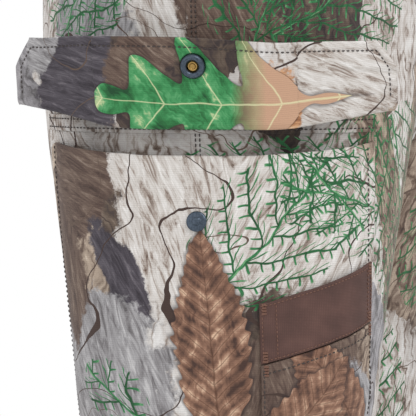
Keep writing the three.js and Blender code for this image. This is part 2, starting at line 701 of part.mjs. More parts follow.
function cargoPocket(side, name, open) {
  const turn = open ? FLAP_OPEN : FLAP_SHUT;
  const curl = open ? FLAP_CURL : -FLAP_CURL;
  const snapPoint = (angle) => placed(side, flapAt(0, SNAP_DROP, 0, angle, 0));
  const shutAt = snapPoint(FLAP_SHUT);
  const shutAxis = snapAxis(side, FLAP_SHUT);
  const nowAt = snapPoint(turn);
  const nowAxis = snapAxis(side, turn);

  const reach = POCKET_WALL + 1.6;
  const stud = snapStud(shutAt, shutAxis, reach);
  const hole = turned(
    [[0, -40], [SNAP_POST_R + SEAM, -40], [SNAP_POST_R + SEAM, 0], [0, 0]], shutAt, shutAxis, 16,
  );
  const bag = skin(placedGrid(side, pocketGrid(POCKET_WALL)), placedGrid(side, pocketGrid(0)));
  add(`${name}_cargo_pocket`, cut(bag, hole), CAMO);
  add(`${name}_snap_stud`, stud, GUNMETAL);

  add(
    `${name}_flap_band`,
    skin(placedGrid(side, flapBandGrid(FLAP_BAND_WALL)), placedGrid(side, flapBandGrid(0))),
    CAMO,
  );
  const eyelet = turned(
    [[0, -POST_TO - 3], [SNAP_POST_R + SEAM, -POST_TO - 3], [SNAP_POST_R + SEAM, 3], [0, 3]],
    nowAt, nowAxis, 16,
  );
  const middle = flapPiece(side, turn, curl, -FLAP_MIDDLE + FOLD_GAP, FLAP_MIDDLE - FOLD_GAP);
  add(`${name}_flap_middle`, cut(middle, eyelet), CAMO);
  add(`${name}_flap_rear`, flapPiece(side, turn, curl, -FLAP_MIDDLE - FOLD_GAP, -1e3), CAMO);
  add(`${name}_flap_front`, flapPiece(side, turn, curl, FLAP_MIDDLE + FOLD_GAP, 1e3), CAMO);
  add(`${name}_snap_socket`, snapRing(nowAt, nowAxis), GUNMETAL);
  add(`${name}_snap_cap`, snapCap(nowAt, nowAxis), GUNMETAL);
}

// ---- both sides ------------------------------------------------------------------------------
for (const [side, name] of [[-1, "right"], [1, "left"]]) {
  add(`${name}_leg_front`, legPanel(side, LEG_SEAM, Math.PI - LEG_SEAM), CAMO);
  add(`${name}_leg_back`, legPanel(side, -Math.PI + LEG_SEAM, -LEG_SEAM), CAMO);
  add(
    `${name}_knee_patch`,
    skin(placedGrid(side, kneeGrid(LOOSE + KNEE_WALL)), placedGrid(side, kneeGrid(LOOSE))),
    KNEE,
  );
  add(
    `${name}_boot_band`,
    skin(placedGrid(side, bandGrid(BAND_OFF)), placedGrid(side, bandGrid(LAYER)), true),
    RUBBER,
  );
  add(`${name}_boot_upper`, bootPlaced(side, bootUpper()), RUBBER);
  add(`${name}_boot_outsole`, bootPlaced(side, outsole()), SOLE_RUBBER);
  add(`${name}_boot_insole`, bootPlaced(side, insole()), FOAM);
  cargoPocket(side, name, side < 0);
}

// The tool pocket is on the wearer's right only: a clip-proof top panel over a camouflage body.
add(
  "clip_panel",
  skin(...pocketPatch(clipTop, clipBottom, LOOSE).map((g) => placedGrid(-1, g))),
  BROWN,
);
add(
  "tool_pocket",
  skin(...pocketPatch(toolTop, toolBottom, LOOSE).map((g) => placedGrid(-1, g))),
  CAMO,
);

// ---- chest pocket and its zip ----------------------------------------------------------------
const ZIP_Z = CHEST_TOP + 7;
const frontAngle = (x, z) => {
  const width = along(TORSO_HALF_WIDTH, z);
  const depth = along(TORSO_HALF_DEPTH, z);
  const y = depth * (1 - Math.abs(x / width) ** TORSO_POWER) ** (1 / TORSO_POWER);
  return Math.atan2(y, x);
};
const chestAt = (x, z, off) => torsoAt(frontAngle(x, z), z, off);
const chestGrid = (off) =>
  steps(5, 0, 1).map((v) =>
    steps(12, -1, 1).map((u) => {
      const corner = 1 - 0.07 * Math.max(0, 1 - v / 0.2);
      const room = (1 - u ** 4) * (1 - (2 * v - 1) ** 6) * CHEST_ROOM;
      const z = CHEST_TOP - CHEST_HEIGHT * (1 - v);
      return chestAt(u * CHEST_HALF * corner, z, off > 0 ? off + room : LAYER);
    }),
  );
add("chest_pocket", skin(chestGrid(LAYER + 2), chestGrid(0)), CAMO);

// The zip lies along an arc fitted to the chest, so its slider turns about the arc's centre.
const ZIP_HALF = 92;
const TAPE_WALL = 1.4;
const zipDip = chestAt(ZIP_HALF, ZIP_Z, 0).y - chestAt(0, ZIP_Z, 0).y;
const ZIP_RADIUS = (ZIP_HALF ** 2 + zipDip ** 2) / (2 * zipDip);
const zipCentreY = chestAt(0, ZIP_Z, 0).y + ZIP_RADIUS;
const zipAt = (x, z, off) => {
  const a = x / ZIP_RADIUS;
  const r = ZIP_RADIUS + off;
  return V(r * Math.sin(a), zipCentreY - r * Math.cos(a), z);
};
const zipGrid = (off) =>
  steps(1, ZIP_Z - 6, ZIP_Z + 10).map((z) =>
    steps(12, -ZIP_HALF - 8, ZIP_HALF + 8).map((x) => zipAt(x, z, off)),
  );
add("chest_zip_tape", skin(zipGrid(LOOSE + TAPE_WALL), zipGrid(LOOSE)), PLASTIC);

// The slider rests at the closed end, at the wearer's right, and its pull hangs from a bail. Both
// are modelled at the middle of the zip, facing -Y from y = 0 at the tape, then turned into place.
const SLIDER_X = -76;
const SLIDER_FRONT = -4;
const PULL_PIVOT_Y = SLIDER_FRONT - 2.6;
const PULL_PIVOT_Z = ZIP_Z + 1.6;
const PULL_WALL = 1.6; // also the thickness of the bar that the bail holds
const onZip = (geometry) => {
  const away = ZIP_RADIUS + LOOSE + TAPE_WALL + SEAM;
  return geometry.translate(0, -away, 0).rotateZ(SLIDER_X / ZIP_RADIUS).translate(0, zipCentreY, 0);
};
const bail = (y0, y1, z0, z1) => block(-1.2, 1.2, y0, y1, z0, z1);
const slider = join(
  block(-5.5, 5.5, SLIDER_FRONT, 0, ZIP_Z - 4, ZIP_Z + 6),
  bail(PULL_PIVOT_Y - 3, SLIDER_FRONT + 1, PULL_PIVOT_Z + 1.8, PULL_PIVOT_Z + 3.4),
  bail(PULL_PIVOT_Y - 3, PULL_PIVOT_Y - 1.5, PULL_PIVOT_Z - 1.6, PULL_PIVOT_Z + 3.4),
);
add("chest_zip_slider", onZip(slider), GUNMETAL);
const pullTop = PULL_PIVOT_Z + PULL_WALL / 2;
const pullShape = roundedBox(0, pullTop - 17, 9, 34, 3);
pullShape.holes.push(roundedBox(0, pullTop - PULL_WALL - 3.4, 5, 6.8, 1, THREE.Path));
const pull = plate(pullShape, PULL_PIVOT_Y - PULL_WALL / 2, PULL_PIVOT_Y + PULL_WALL / 2);
add("chest_zip_pull", onZip(pull), BROWN);

// ---- wading belt -----------------------------------------------------------------------------
const BUCKLE_HALF = 30; // half the open length of the belt behind its buckle
const beltGrid = (off) => {
  const z0 = BELT_Z - BELT_WIDTH / 2;
  const start = frontAngle(-BUCKLE_HALF + 14, BELT_Z);
  const end = frontAngle(BUCKLE_HALF - 14, BELT_Z) + 2 * Math.PI;
  return steps(1, z0, z0 + BELT_WIDTH).map((z) =>
    torsoAngles(start, end).map((a) => torsoAt(a, z, off)),
  );
};
const BELT_OUT = LOOSE + BELT_WALL;
const BUCKLE_REST = 1; // gap between the belt and the back of its buckle
add("wading_belt", skin(beltGrid(BELT_OUT), beltGrid(LOOSE)), WEBBING);

const LOOP_SEWN = 12; // length of each end of a belt loop that is sewn down
const loopGrid = (middle, off) => {
  const clear = BELT_WIDTH / 2 + 2;
  const rows = [-clear - 4 - LOOP_SEWN, -clear - 4, -clear, clear, clear + 4, clear + 4 + LOOP_SEWN];
  return rows.map((dz) => {
    const lift = Math.abs(dz) > clear ? LOOSE : BELT_OUT + LAYER;
    return steps(2, -0.06, 0.06).map((d) => torsoAt(middle + d, BELT_Z + dz, lift + off));
  });
};
for (const [name, angle] of [["right", Math.PI - 0.55], ["left", 0.55], ["back", -Math.PI / 2]]) {
  add(`belt_loop_${name}`, skin(loopGrid(angle, 1.5), loopGrid(angle, 0)), WEBBING);
}

// ---- side-release buckles --------------------------------------------------------------------
// Flat buckle in the plane of x and z, mouth up at z = 0, facing -Y. The socket is a box open at
// its mouth, with a web slot below. The plug's two arms go down into it from a cross bar.
const ARM = 6;
const ARM_CLEAR = 0.6;
const SOCKET_LONG = 30;
const PLUG_BAR = 30;
const socketInside = (BUCKLE_DEPTH - 2 * BUCKLE_WALL) / 2;

function buckleSocket() {
  const half = BUCKLE_WIDTH / 2;
  const shape = roundedBox(0, -SOCKET_LONG / 2 - 5, BUCKLE_WIDTH, SOCKET_LONG + 10, 6);
  shape.holes.push(roundedBox(0, -SOCKET_LONG - 4.6, BUCKLE_WIDTH - 11, 4.4, 1.5, THREE.Path));
  const hollow = block(-half + 3.2, half - 3.2, -socketInside, socketInside, -SOCKET_LONG + 3, 1);
  const sideWindows = block(-half - 1, half + 1, -socketInside, socketInside, -20, -8);
  return cut(plate(shape, -BUCKLE_DEPTH / 2, BUCKLE_DEPTH / 2), hollow, sideWindows);
}

function bucklePlug() {
  const half = BUCKLE_WIDTH / 2;
  const shape = roundedBox(0, LAYER + PLUG_BAR / 2, BUCKLE_WIDTH, PLUG_BAR, 5);
  shape.holes.push(roundedBox(0, 10, BUCKLE_WIDTH - 10, 4.4, 1.5, THREE.Path));
  shape.holes.push(roundedBox(0, 20.5, BUCKLE_WIDTH - 10, 4.4, 1.5, THREE.Path));
  const bar = plate(shape, -BUCKLE_DEPTH / 2 + 1, BUCKLE_DEPTH / 2 - 1);
  const reach = -SOCKET_LONG + 3 + ARM_CLEAR;
  const thick = socketInside - ARM_CLEAR;
  const arm = (s) => {
    const outer = s * (half - 3.2 - ARM_CLEAR);
    const inner = s * (half - 3.2 - ARM_CLEAR - ARM);
    return block(Math.min(outer, inner), Math.max(outer, inner), -thick, thick, reach, 3);
  };
  const guide = block(-2.5, 2.5, -thick, thick, reach + 8, 3);
  return join(bar, arm(1), arm(-1), guide);
}

// A shoulder strap's frame: origin on the bib's top edge, turned to face the way the cloth faces.
const BUCKLE_Z = BIB_FRONT_Z + SOCKET_LONG + 14;
const STRAP_FOOT = chestAt(STRAP_X, BIB_FRONT_Z, 0);
const STRAP_OUT = LOOSE + STRAP_WALL / 2; // strap's mid plane in front of the cloth's face
const strapFacing = chestAt(STRAP_X, BIB_FRONT_Z, 1).sub(STRAP_FOOT);
const STRAP_TURN = Math.atan2(strapFacing.x, -strapFacing.y);
const BUCKLE_OUT = STRAP_OUT + STRAP_WALL / 2 + LAYER + BUCKLE_DEPTH / 2;

// Moves a geometry made facing -Y, around x = 0 and z = 0, to out in front of the strap's foot.
function onStrap(side, geometry, out, z) {
  const moved = geometry.translate(0, -out, z).rotateZ(side * STRAP_TURN);
  return moved.translate(side * STRAP_FOOT.x, STRAP_FOOT.y, 0);
}

// The belt's buckle lies on its side: its mouth faces the wearer's left.
const beltFrontY = [-BELT_WIDTH / 2, 0, BELT_WIDTH / 2].map(
  (dz) => torsoAt(Math.PI / 2, BELT_Z + dz, BELT_OUT).y,
);
const BELT_BUCKLE_Y = Math.min(...beltFrontY) - BUCKLE_REST - BUCKLE_DEPTH / 2;
const onBelt = (geometry) => geometry.rotateY(Math.PI / 2).translate(-4, BELT_BUCKLE_Y, BELT_Z);
add("belt_buckle_socket", onBelt(buckleSocket()), PLASTIC);
add("belt_buckle_plug", onBelt(bucklePlug()), PLASTIC);

// ---- shoulder straps -------------------------------------------------------------------------
// Webbing laid along points, each with the direction of its width.
function ribbon(points, widths, width, wall) {
  const rows = points.map((p, i) => {
    const before = points[Math.max(i - 1, 0)];
    const after = points[Math.min(i + 1, points.length - 1)];
    const run = after.clone().sub(before).normalize();
    const across = widths[i].clone().addScaledVector(run, -widths[i].dot(run)).normalize();
    return { p, across, normal: run.clone().cross(across).normalize() };
  });
  const grid = (sign) =>
    rows.map(({ p, across, normal }) =>
      [-0.5, 0.5].map((u) =>
        p.clone().addScaledVector(across, u * width).addScaledVector(normal, (sign * wall) / 2),
      ),
    );
  return skin(grid(1), grid(-1));
}

const STRAP_START = BUCKLE_Z + 14;
const STRAIGHT_TO = BUCKLE_Z + PLUG_BAR + BUCKLE_TRAVEL + 40;
const strapBase = STRAP_FOOT.clone().add(
  V(Math.sin(STRAP_TURN) * STRAP_OUT, -Math.cos(STRAP_TURN) * STRAP_OUT, 0),
);
const YOKE_TOP = BIB_BACK_Z - 8;
const BACK_Y = torsoAt(-Math.PI / 2, YOKE_TOP, 0).y;
function strapLine(side) {
  const x = side * strapBase.x;
  const y = strapBase.y;
  const bend = new THREE.CatmullRomCurve3(
    [
      V(x, y, STRAIGHT_TO - 3),
      V(x, y, STRAIGHT_TO),
      V(x * 0.98, y * 0.68, STRAP_TOP_Z - 10),
      V(x * 0.9, y * 0.08, STRAP_TOP_Z + 5),
      V(x * 0.78, BACK_Y * 0.55, STRAP_TOP_Z - 32),
      V(x * 0.6, BACK_Y * 0.92, STRAP_TOP_Z - 105),
      V(x * 0.38, BACK_Y + STRAP_OUT + 3, YOKE_TOP + 45),
      V(x * 0.3, BACK_Y + STRAP_OUT, YOKE_TOP + 8),
      V(x * 0.28, BACK_Y + STRAP_OUT, YOKE_TOP - 42),
    ],
    false,
    "centripetal",
  );
  const points = [V(x, y, STRAP_START), ...bend.getPoints(24)];
  const flat = V(1, 0, 0);
  const turnedFlat = V(Math.cos(STRAP_TURN), side * Math.sin(STRAP_TURN), 0);
  const widths = points.map((p) => turnedFlat.clone().lerp(flat, smoothstep(p.y, y, y * 0.3)));
  return ribbon(points, widths, STRAP_WIDTH, STRAP_WALL);
}

function adjuster() {
  const shape = roundedBox(0, 0, STRAP_WIDTH + 12, 20, 4);
  const half = STRAP_WIDTH / 2 + 1;
  const gap = STRAP_WALL / 2 + LAYER;
  const slot = block(-half, half, -gap, gap, -20, 20);
  const upperWindow = block(-half, half, -10, 0, 2.5, 5.5);
  const lowerWindow = block(-half, half, -10, 0, -5.5, -2.5);
  return cut(plate(shape, -gap - 2.2, gap + 1.6), slot, upperWindow, lowerWindow);
}

const ADJUSTER_Z = BUCKLE_Z + PLUG_BAR + BUCKLE_TRAVEL + 13;
const TAB_WALL = 1.8;
const TAB_TOP = BUCKLE_Z - SOCKET_LONG - 7.4; // under the socket's web bar
const tabBend = BIB_FRONT_Z - 6;

// Webbing tab, sewn to the bib below its top edge and led up behind the socket's bar.
function buckleTab(side) {
  const grid = (off) =>
    [BIB_FRONT_Z - 46, BIB_FRONT_Z - 26, tabBend, TAB_TOP].map((z) =>
      steps(2, -STRAP_WIDTH / 2, STRAP_WIDTH / 2).map((d) => {
        const p = chestAt(STRAP_X + d * Math.cos(STRAP_TURN), Math.min(z, BIB_FRONT_Z), LOOSE + off);
        return V(side * p.x, p.y, z);
      }),
    );
  return skin(grid(TAB_WALL), grid(0));
}

for (const [side, name] of [[-1, "right"], [1, "left"]]) {
  add(`${name}_shoulder_strap`, strapLine(side), WEBBING);
  add(`${name}_buckle_socket`, onStrap(side, buckleSocket(), BUCKLE_OUT, BUCKLE_Z), PLASTIC);
  add(`${name}_buckle_plug`, onStrap(side, bucklePlug(), BUCKLE_OUT, BUCKLE_Z), PLASTIC);
  add(`${name}_strap_adjuster`, onStrap(side, adjuster(), STRAP_OUT, ADJUSTER_Z), PLASTIC);
  add(`${name}_buckle_tab`, buckleTab(side), WEBBING);
}

// Yoke that gathers both straps on the bib's back.
const yokeGrid = (off) =>
  steps(4, 0, 1).map((v) => {
    const z = lerp(YOKE_TOP - 74, YOKE_TOP, v);
    return steps(6, -1, 1).map((u) => {
      const half = lerp(30, 56, v);
      return torsoAt(-Math.PI / 2 - (u * half) / 138, z, off);
    });
  });
const YOKE_WALL = 2;
const yokeOff = STRAP_OUT + STRAP_WALL / 2 + LOOSE;
add("back_yoke", skin(yokeGrid(yokeOff + YOKE_WALL), yokeGrid(yokeOff)), BROWN);

// ---- accessory ring on the chest -------------------------------------------------------------
const RING_X = 52;
const RING_Z = BIB_FRONT_Z - 27;
const ringFace = chestAt(RING_X, RING_Z, 0).y;
const ringTab = join(
  block(RING_X - 10, RING_X + 10, ringFace - 2.6, ringFace - 1.4, RING_Z - 2, RING_Z + 22),
  block(RING_X - 10, RING_X + 10, ringFace - 8.4, ringFace - 1.4, RING_Z - 3.4, RING_Z - 2),
  block(RING_X - 10, RING_X + 10, ringFace - 8.4, ringFace - 7.2, RING_Z - 3.4, RING_Z + 5.4),
  block(RING_X - 10, RING_X + 10, ringFace - 8.4, ringFace - 1.4, RING_Z + 4.2, RING_Z + 5.4),
);
add("ring_tab", ringTab, WEBBING);

// D-shaped wire ring whose straight bar lies in the tab's loop.
const RING_PIVOT_Z = RING_Z + 1.1;
const ringY = ringFace - 4.9;
const dShape = new THREE.Shape();
dShape.moveTo(-15, 1.5).lineTo(-15, -8).absarc(0, -8, 15, Math.PI, 2 * Math.PI).lineTo(15, 1.5);
const dHole = new THREE.Path();
dHole.moveTo(-12, -1.5).lineTo(-12, -8).absarc(0, -8, 12, Math.PI, 2 * Math.PI).lineTo(12, -1.5);
dShape.holes.push(dHole);
add(
  "accessory_ring",
  plate(dShape, -1.5, 1.5, 8).translate(RING_X, ringY, RING_PIVOT_Z),
  GUNMETAL,
);

export default waders;
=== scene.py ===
"""Chest waders of printed woodland cloth with bonded rubber boots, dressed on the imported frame."""

import json
import math

import bpy
import numpy as np
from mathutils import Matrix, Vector
from mathutils.bvhtree import BVHTree


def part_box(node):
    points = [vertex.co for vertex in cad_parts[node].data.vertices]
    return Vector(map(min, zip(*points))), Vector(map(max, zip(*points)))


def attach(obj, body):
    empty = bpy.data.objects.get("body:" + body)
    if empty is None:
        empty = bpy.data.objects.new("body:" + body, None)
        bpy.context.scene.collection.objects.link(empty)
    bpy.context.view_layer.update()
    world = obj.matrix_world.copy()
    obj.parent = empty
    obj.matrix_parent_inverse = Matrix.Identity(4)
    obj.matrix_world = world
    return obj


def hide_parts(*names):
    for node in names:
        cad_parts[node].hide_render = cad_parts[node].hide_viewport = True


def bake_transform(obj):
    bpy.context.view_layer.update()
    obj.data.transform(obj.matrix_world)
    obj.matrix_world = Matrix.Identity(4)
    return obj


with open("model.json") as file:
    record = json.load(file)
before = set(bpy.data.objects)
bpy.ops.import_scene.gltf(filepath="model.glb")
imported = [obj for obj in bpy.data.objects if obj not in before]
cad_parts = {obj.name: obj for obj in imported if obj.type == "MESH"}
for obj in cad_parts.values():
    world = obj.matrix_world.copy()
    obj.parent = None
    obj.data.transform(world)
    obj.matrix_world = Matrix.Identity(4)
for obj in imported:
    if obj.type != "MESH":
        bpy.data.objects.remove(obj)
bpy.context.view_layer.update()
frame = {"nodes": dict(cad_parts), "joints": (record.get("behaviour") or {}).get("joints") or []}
nodes = frame["nodes"]
mm = 0.001

# ---- Room and camera -----------------------------------------------------------------------
# A plain pale floor under a bright, even sky, with one large soft lamp on each side. The camera
# looks square at the outside of the right thigh, a little from the front.
def linear(hexcode):
    """An sRGB hex colour as Blender's linear values."""
    parts = [int(hexcode[i:i + 2], 16) / 255 for i in (1, 3, 5)]
    low = [c / 12.92 if c <= 0.04045 else ((c + 0.055) / 1.055) ** 2.4 for c in parts]
    return (*low, 1.0)


def node(tree, kind, feeds=None, stops=(), **settings):
    """Adds a shader node, sets its properties and colour stops, and feeds it values or nodes."""
    made = tree.nodes.new("ShaderNode" + kind)
    for name, value in settings.items():
        setattr(made, name, value)
    for key, value in (feeds or {}).items():
        if isinstance(value, bpy.types.Node):
            value = value.outputs[0]
        if isinstance(value, bpy.types.NodeSocket):
            tree.links.new(value, made.inputs[key])
        else:
            made.inputs[key].default_value = value
    for _ in stops[2:]:
        made.color_ramp.elements.new(0.5)
    for element, (place, colour) in zip(made.color_ramp.elements if stops else (), stops):
        element.position = place
        element.color = linear(colour)
    return made


def surface(name, shader):
    """A new material holding just a principled shader with these plain settings."""
    made = bpy.data.materials.new(name)
    made.use_nodes = True
    tree = made.node_tree
    tree.nodes.clear()
    out = node(tree, "OutputMaterial")
    principled = node(tree, "BsdfPrincipled", shader)
    tree.links.new(principled.outputs[0], out.inputs[0])
    return made, tree, principled


room = bpy.data.worlds.new("pale_room")
room.use_nodes = True
room.node_tree.nodes["Background"].inputs[0].default_value = linear("#FFFFFF")
room.node_tree.nodes["Background"].inputs[1].default_value = 1.0
bpy.context.scene.world = room
bpy.context.scene.view_settings.view_transform = "Standard"

floor_mesh = bpy.data.meshes.new("floor")
reach = 4.0
floor_mesh.from_pydata(
    [(-reach, -reach, 0), (reach, -reach, 0), (reach, reach, 0), (-reach, reach, 0)], [], [(0, 1, 2, 3)]
)
floor = bpy.data.objects.new("floor", floor_mesh)
bpy.context.scene.collection.objects.link(floor)
floor_mesh.materials.append(surface("pale_floor", {"Base Color": linear("#EEEEEC"), "Roughness": 0.9})[0])

THIGH = Vector((-0.1101, 0.047, 0.6640))  # point that the camera looks at
CAMERA_TURN = math.radians(-80)
CAMERA_LIFT = math.radians(3)
CAMERA_AWAY = 2.6
VIEW_WIDTH = 0.2413  # width of what the camera sees at the cloth nearest to it
CLOTH_AWAY = 2.496


def towards(turn, lift):
    """Unit vector from the waders to a place turned about them and raised, in radians."""
    flat = math.cos(lift)
    return Vector((math.sin(turn) * flat, -math.cos(turn) * flat, math.sin(lift)))


def aimed(thing, at, away, turn, lift):
    """Puts a lamp or camera away from a point, looking at it."""
    made = bpy.data.objects.new(thing.name, thing)
    back = towards(turn, lift)
    made.location = at + back * away
    made.rotation_euler = (-back).to_track_quat("-Z", "Y").to_euler()
    bpy.context.scene.collection.objects.link(made)
    return made


lens = bpy.data.cameras.new("camera")
lens.angle = 2 * math.atan(VIEW_WIDTH / 2 / CLOTH_AWAY)
lens.clip_end = 50
bpy.context.scene.camera = aimed(lens, THIGH, CAMERA_AWAY, CAMERA_TURN, CAMERA_LIFT)

MIDDLE = Vector((0, 0, 0.8))
for lamp_name, turn, lift, power, size in [
    ("key_lamp", -60, 38, 16, 1.2), ("fill_lamp", -120, 15, 5, 2.0), ("front_lamp", 15, 30, 12, 1.8),
    ("back_lamp", 150, 35, 12, 1.8),
]:
    lamp = bpy.data.lights.new(lamp_name, "AREA")
    lamp.energy = power
    lamp.size = size
    aimed(lamp, MIDDLE, 2.6, math.radians(turn), math.radians(lift))

# ---- Printed cloth -------------------------------------------------------------------------
# The body, legs, pockets and flaps are cut from one laminate: a ribbed polyester face, printed
# with bark, twigs, evergreen sprays and leaves, over a waterproof film and a knitted lining.
RIB = 1.25 * mm  # the face's horizontal ribs; the real ones are 0.6 mm, drawn coarser to show


def leaf_group(name, outline, lobe):
    """Shading group of a leaf whose base is at the origin and whose midrib runs along X."""
    tree = bpy.data.node_groups.new(name, "ShaderNodeTree")
    for label, kind, default in [
        ("Place", "NodeSocketVector", None), ("Length", "NodeSocketFloat", 0.1),
        ("Half Width", "NodeSocketFloat", 0.02), ("Vein Gap", "NodeSocketFloat", 0.006),
        ("Slant", "NodeSocketFloat", 0.8),
    ]:
        socket = tree.interface.new_socket(label, in_out="INPUT", socket_type=kind)
        if default is not None:
            socket.default_value = default
    for label in ("Inside", "Vein", "Midrib", "Along", "Shadow", "Furrow"):
        tree.interface.new_socket(label, in_out="OUTPUT", socket_type="NodeSocketFloat")
    taken = tree.nodes.new("NodeGroupInput").outputs
    given = tree.nodes.new("NodeGroupOutput").inputs
    parts = node(tree, "SeparateXYZ", {0: taken["Place"]})
    across = node(tree, "Math", {0: parts.outputs[1]}, operation="ABSOLUTE")
    back = node(tree, "Math", {0: across, 1: taken["Slant"]}, operation="MULTIPLY")
    root = node(tree, "Math", {0: parts.outputs[0], 1: back}, operation="SUBTRACT")
    half_gap = node(tree, "Math", {0: taken["Vein Gap"], 1: 0.5}, operation="MULTIPLY")
    off_vein = node(tree, "Math", {0: root, 1: half_gap}, operation="PINGPONG")
    share = node(tree, "Math", {0: off_vein, 1: half_gap}, operation="DIVIDE")
    along = node(tree, "Math", {0: parts.outputs[0], 1: taken["Length"]}, operation="DIVIDE")
    edge = node(tree, "FloatCurve", {1: along})
    curve = edge.mapping.curves[0]
    while len(curve.points) < len(outline):
        curve.points.new(0.5, 0.5)
    for point, place in zip(curve.points, outline):
        point.location = place
    edge.mapping.update()
    notch = node(
        tree, "MapRange", {0: share, 1: 0.0, 2: 1.0, 3: 1.0, 4: 1 - lobe},
        interpolation_type="SMOOTHSTEP",
    )
    wide = node(tree, "Math", {0: edge, 1: taken["Half Width"]}, operation="MULTIPLY")
    wide = node(tree, "Math", {0: wide, 1: notch}, operation="MULTIPLY")
    depth = node(tree, "Math", {0: wide, 1: across}, operation="SUBTRACT")
    inside = node(tree, "MapRange", {0: depth, 1: 0.0, 2: 0.4 * mm})
    shadow = node(tree, "MapRange", {0: depth, 1: -2.2 * mm, 2: 0.0})
    thin = node(tree, "Math", {0: across, 1: taken["Half Width"]}, operation="DIVIDE")
    width = node(tree, "MapRange", {0: thin, 1: 0.0, 2: 1.0, 3: 0.8 * mm, 4: 0.3 * mm})
    vein = node(tree, "MapRange", {0: off_vein, 1: width, 2: 0.0})
    rib_width = node(tree, "MapRange", {0: along, 1: 0.0, 2: 1.0, 3: 1.1 * mm, 4: 0.3 * mm})
    midrib = node(tree, "MapRange", {0: across, 1: rib_width, 2: 0.0})
    for label, made in [
        ("Inside", inside), ("Vein", vein), ("Midrib", midrib), ("Along", along), ("Shadow", shadow),
        ("Furrow", share),
    ]:
        tree.links.new(made.outputs[0], given[label])
    return tree


OAK = leaf_group(
    "oak_leaf", [(0, 0.05), (0.12, 0.2), (0.3, 0.85), (0.55, 1.0), (0.8, 0.75), (0.95, 0.3), (1, 0)], 0.72
)
BEECH = leaf_group(
    "toothed_leaf", [(0, 0.02), (0.1, 0.35), (0.35, 0.95), (0.55, 1.0), (0.8, 0.62), (1, 0)], 0.1
)


def spray_group(name):
    """Shading group of an evergreen spray: a stem along X with branches, and branchlets on those."""
    tree = bpy.data.node_groups.new(name, "ShaderNodeTree")
    tree.interface.new_socket("Place", in_out="INPUT", socket_type="NodeSocketVector")
    for label, default in [
        ("Length", 0.1), ("Half Width", 0.035), ("Branch Gap", 0.0185), ("Twig Gap", 0.0064)
    ]:
        tree.interface.new_socket(
            label, in_out="INPUT", socket_type="NodeSocketFloat"
        ).default_value = default
    for label in ("Inside", "Tip"):
        tree.interface.new_socket(label, in_out="OUTPUT", socket_type="NodeSocketFloat")
    taken = tree.nodes.new("NodeGroupInput").outputs
    given = tree.nodes.new("NodeGroupOutput").inputs
    parts = node(tree, "SeparateXYZ", {0: taken["Place"]})
    across = node(tree, "Math", {0: parts.outputs[1]}, operation="ABSOLUTE")
    side = node(tree, "Math", {0: parts.outputs[1]}, operation="SIGN")
    half_gap = node(tree, "Math", {0: taken["Branch Gap"], 1: 0.5}, operation="MULTIPLY")
    shift = node(tree, "Math", {0: side, 1: half_gap}, operation="MULTIPLY")
    shift = node(tree, "Math", {0: shift, 1: 0.5, 2: parts.outputs[0]}, operation="MULTIPLY_ADD")
    root = node(tree, "Math", {0: shift, 1: across}, operation="SUBTRACT")
    off_branch = node(tree, "Math", {0: root, 1: half_gap}, operation="PINGPONG")
    off_branch = node(tree, "Math", {0: off_branch, 1: 0.707}, operation="MULTIPLY")
    up_branch = node(tree, "Math", {0: across, 1: 1.414}, operation="MULTIPLY")
    twig_root = node(tree, "Math", {0: up_branch, 1: off_branch}, operation="SUBTRACT")
    half_twig = node(tree, "Math", {0: taken["Twig Gap"], 1: 0.5}, operation="MULTIPLY")
    off_twig = node(tree, "Math", {0: twig_root, 1: half_twig}, operation="PINGPONG")
    along = node(tree, "Math", {0: parts.outputs[0], 1: taken["Length"]}, operation="DIVIDE")
    fade = node(tree, "FloatCurve", {1: along})
    curve = fade.mapping.curves[0]
    curve.points.new(0.5, 0.5)
    curve.points.new(0.5, 0.5)
    for point, place in zip(curve.points, [(0, 0.15), (0.3, 0.9), (0.7, 0.75), (1, 0)]):
        point.location = place
    fade.mapping.update()
    reach_out = node(tree, "Math", {0: fade, 1: taken["Half Width"]}, operation="MULTIPLY")
    room_left = node(tree, "Math", {0: reach_out, 1: across}, operation="SUBTRACT")
    within = node(tree, "MapRange", {0: room_left, 1: 0.0, 2: 1.0 * mm})
    branch = node(tree, "MapRange", {0: off_branch, 1: 0.75 * mm, 2: 0.45 * mm})
    twig = node(tree, "MapRange", {0: off_twig, 1: 0.75 * mm, 2: 0.45 * mm})
    twig_end = node(tree, "MapRange", {0: off_branch, 1: 5.6 * mm, 2: 4.8 * mm})
    twig = node(tree, "Math", {0: twig, 1: twig_end}, operation="MULTIPLY")
    stem = node(tree, "MapRange", {0: across, 1: 0.9 * mm, 2: 0.6 * mm})
    any_part = node(tree, "Math", {0: branch, 1: twig}, operation="MAXIMUM")
    any_part = node(tree, "Math", {0: any_part, 1: stem}, operation="MAXIMUM")
    started = node(tree, "MapRange", {0: along, 1: 0.0, 2: 0.01})
    inside = node(tree, "Math", {0: any_part, 1: within}, operation="MULTIPLY")
    inside = node(tree, "Math", {0: inside, 1: started}, operation="MULTIPLY")
    tip = node(tree, "Math", {0: off_branch, 1: 5.6 * mm}, operation="DIVIDE", use_clamp=True)
    tree.links.new(inside.outputs[0], given["Inside"])
    tree.links.new(tip.outputs[0], given["Tip"])
    return tree


SPRAY = spray_group("evergreen_spray")


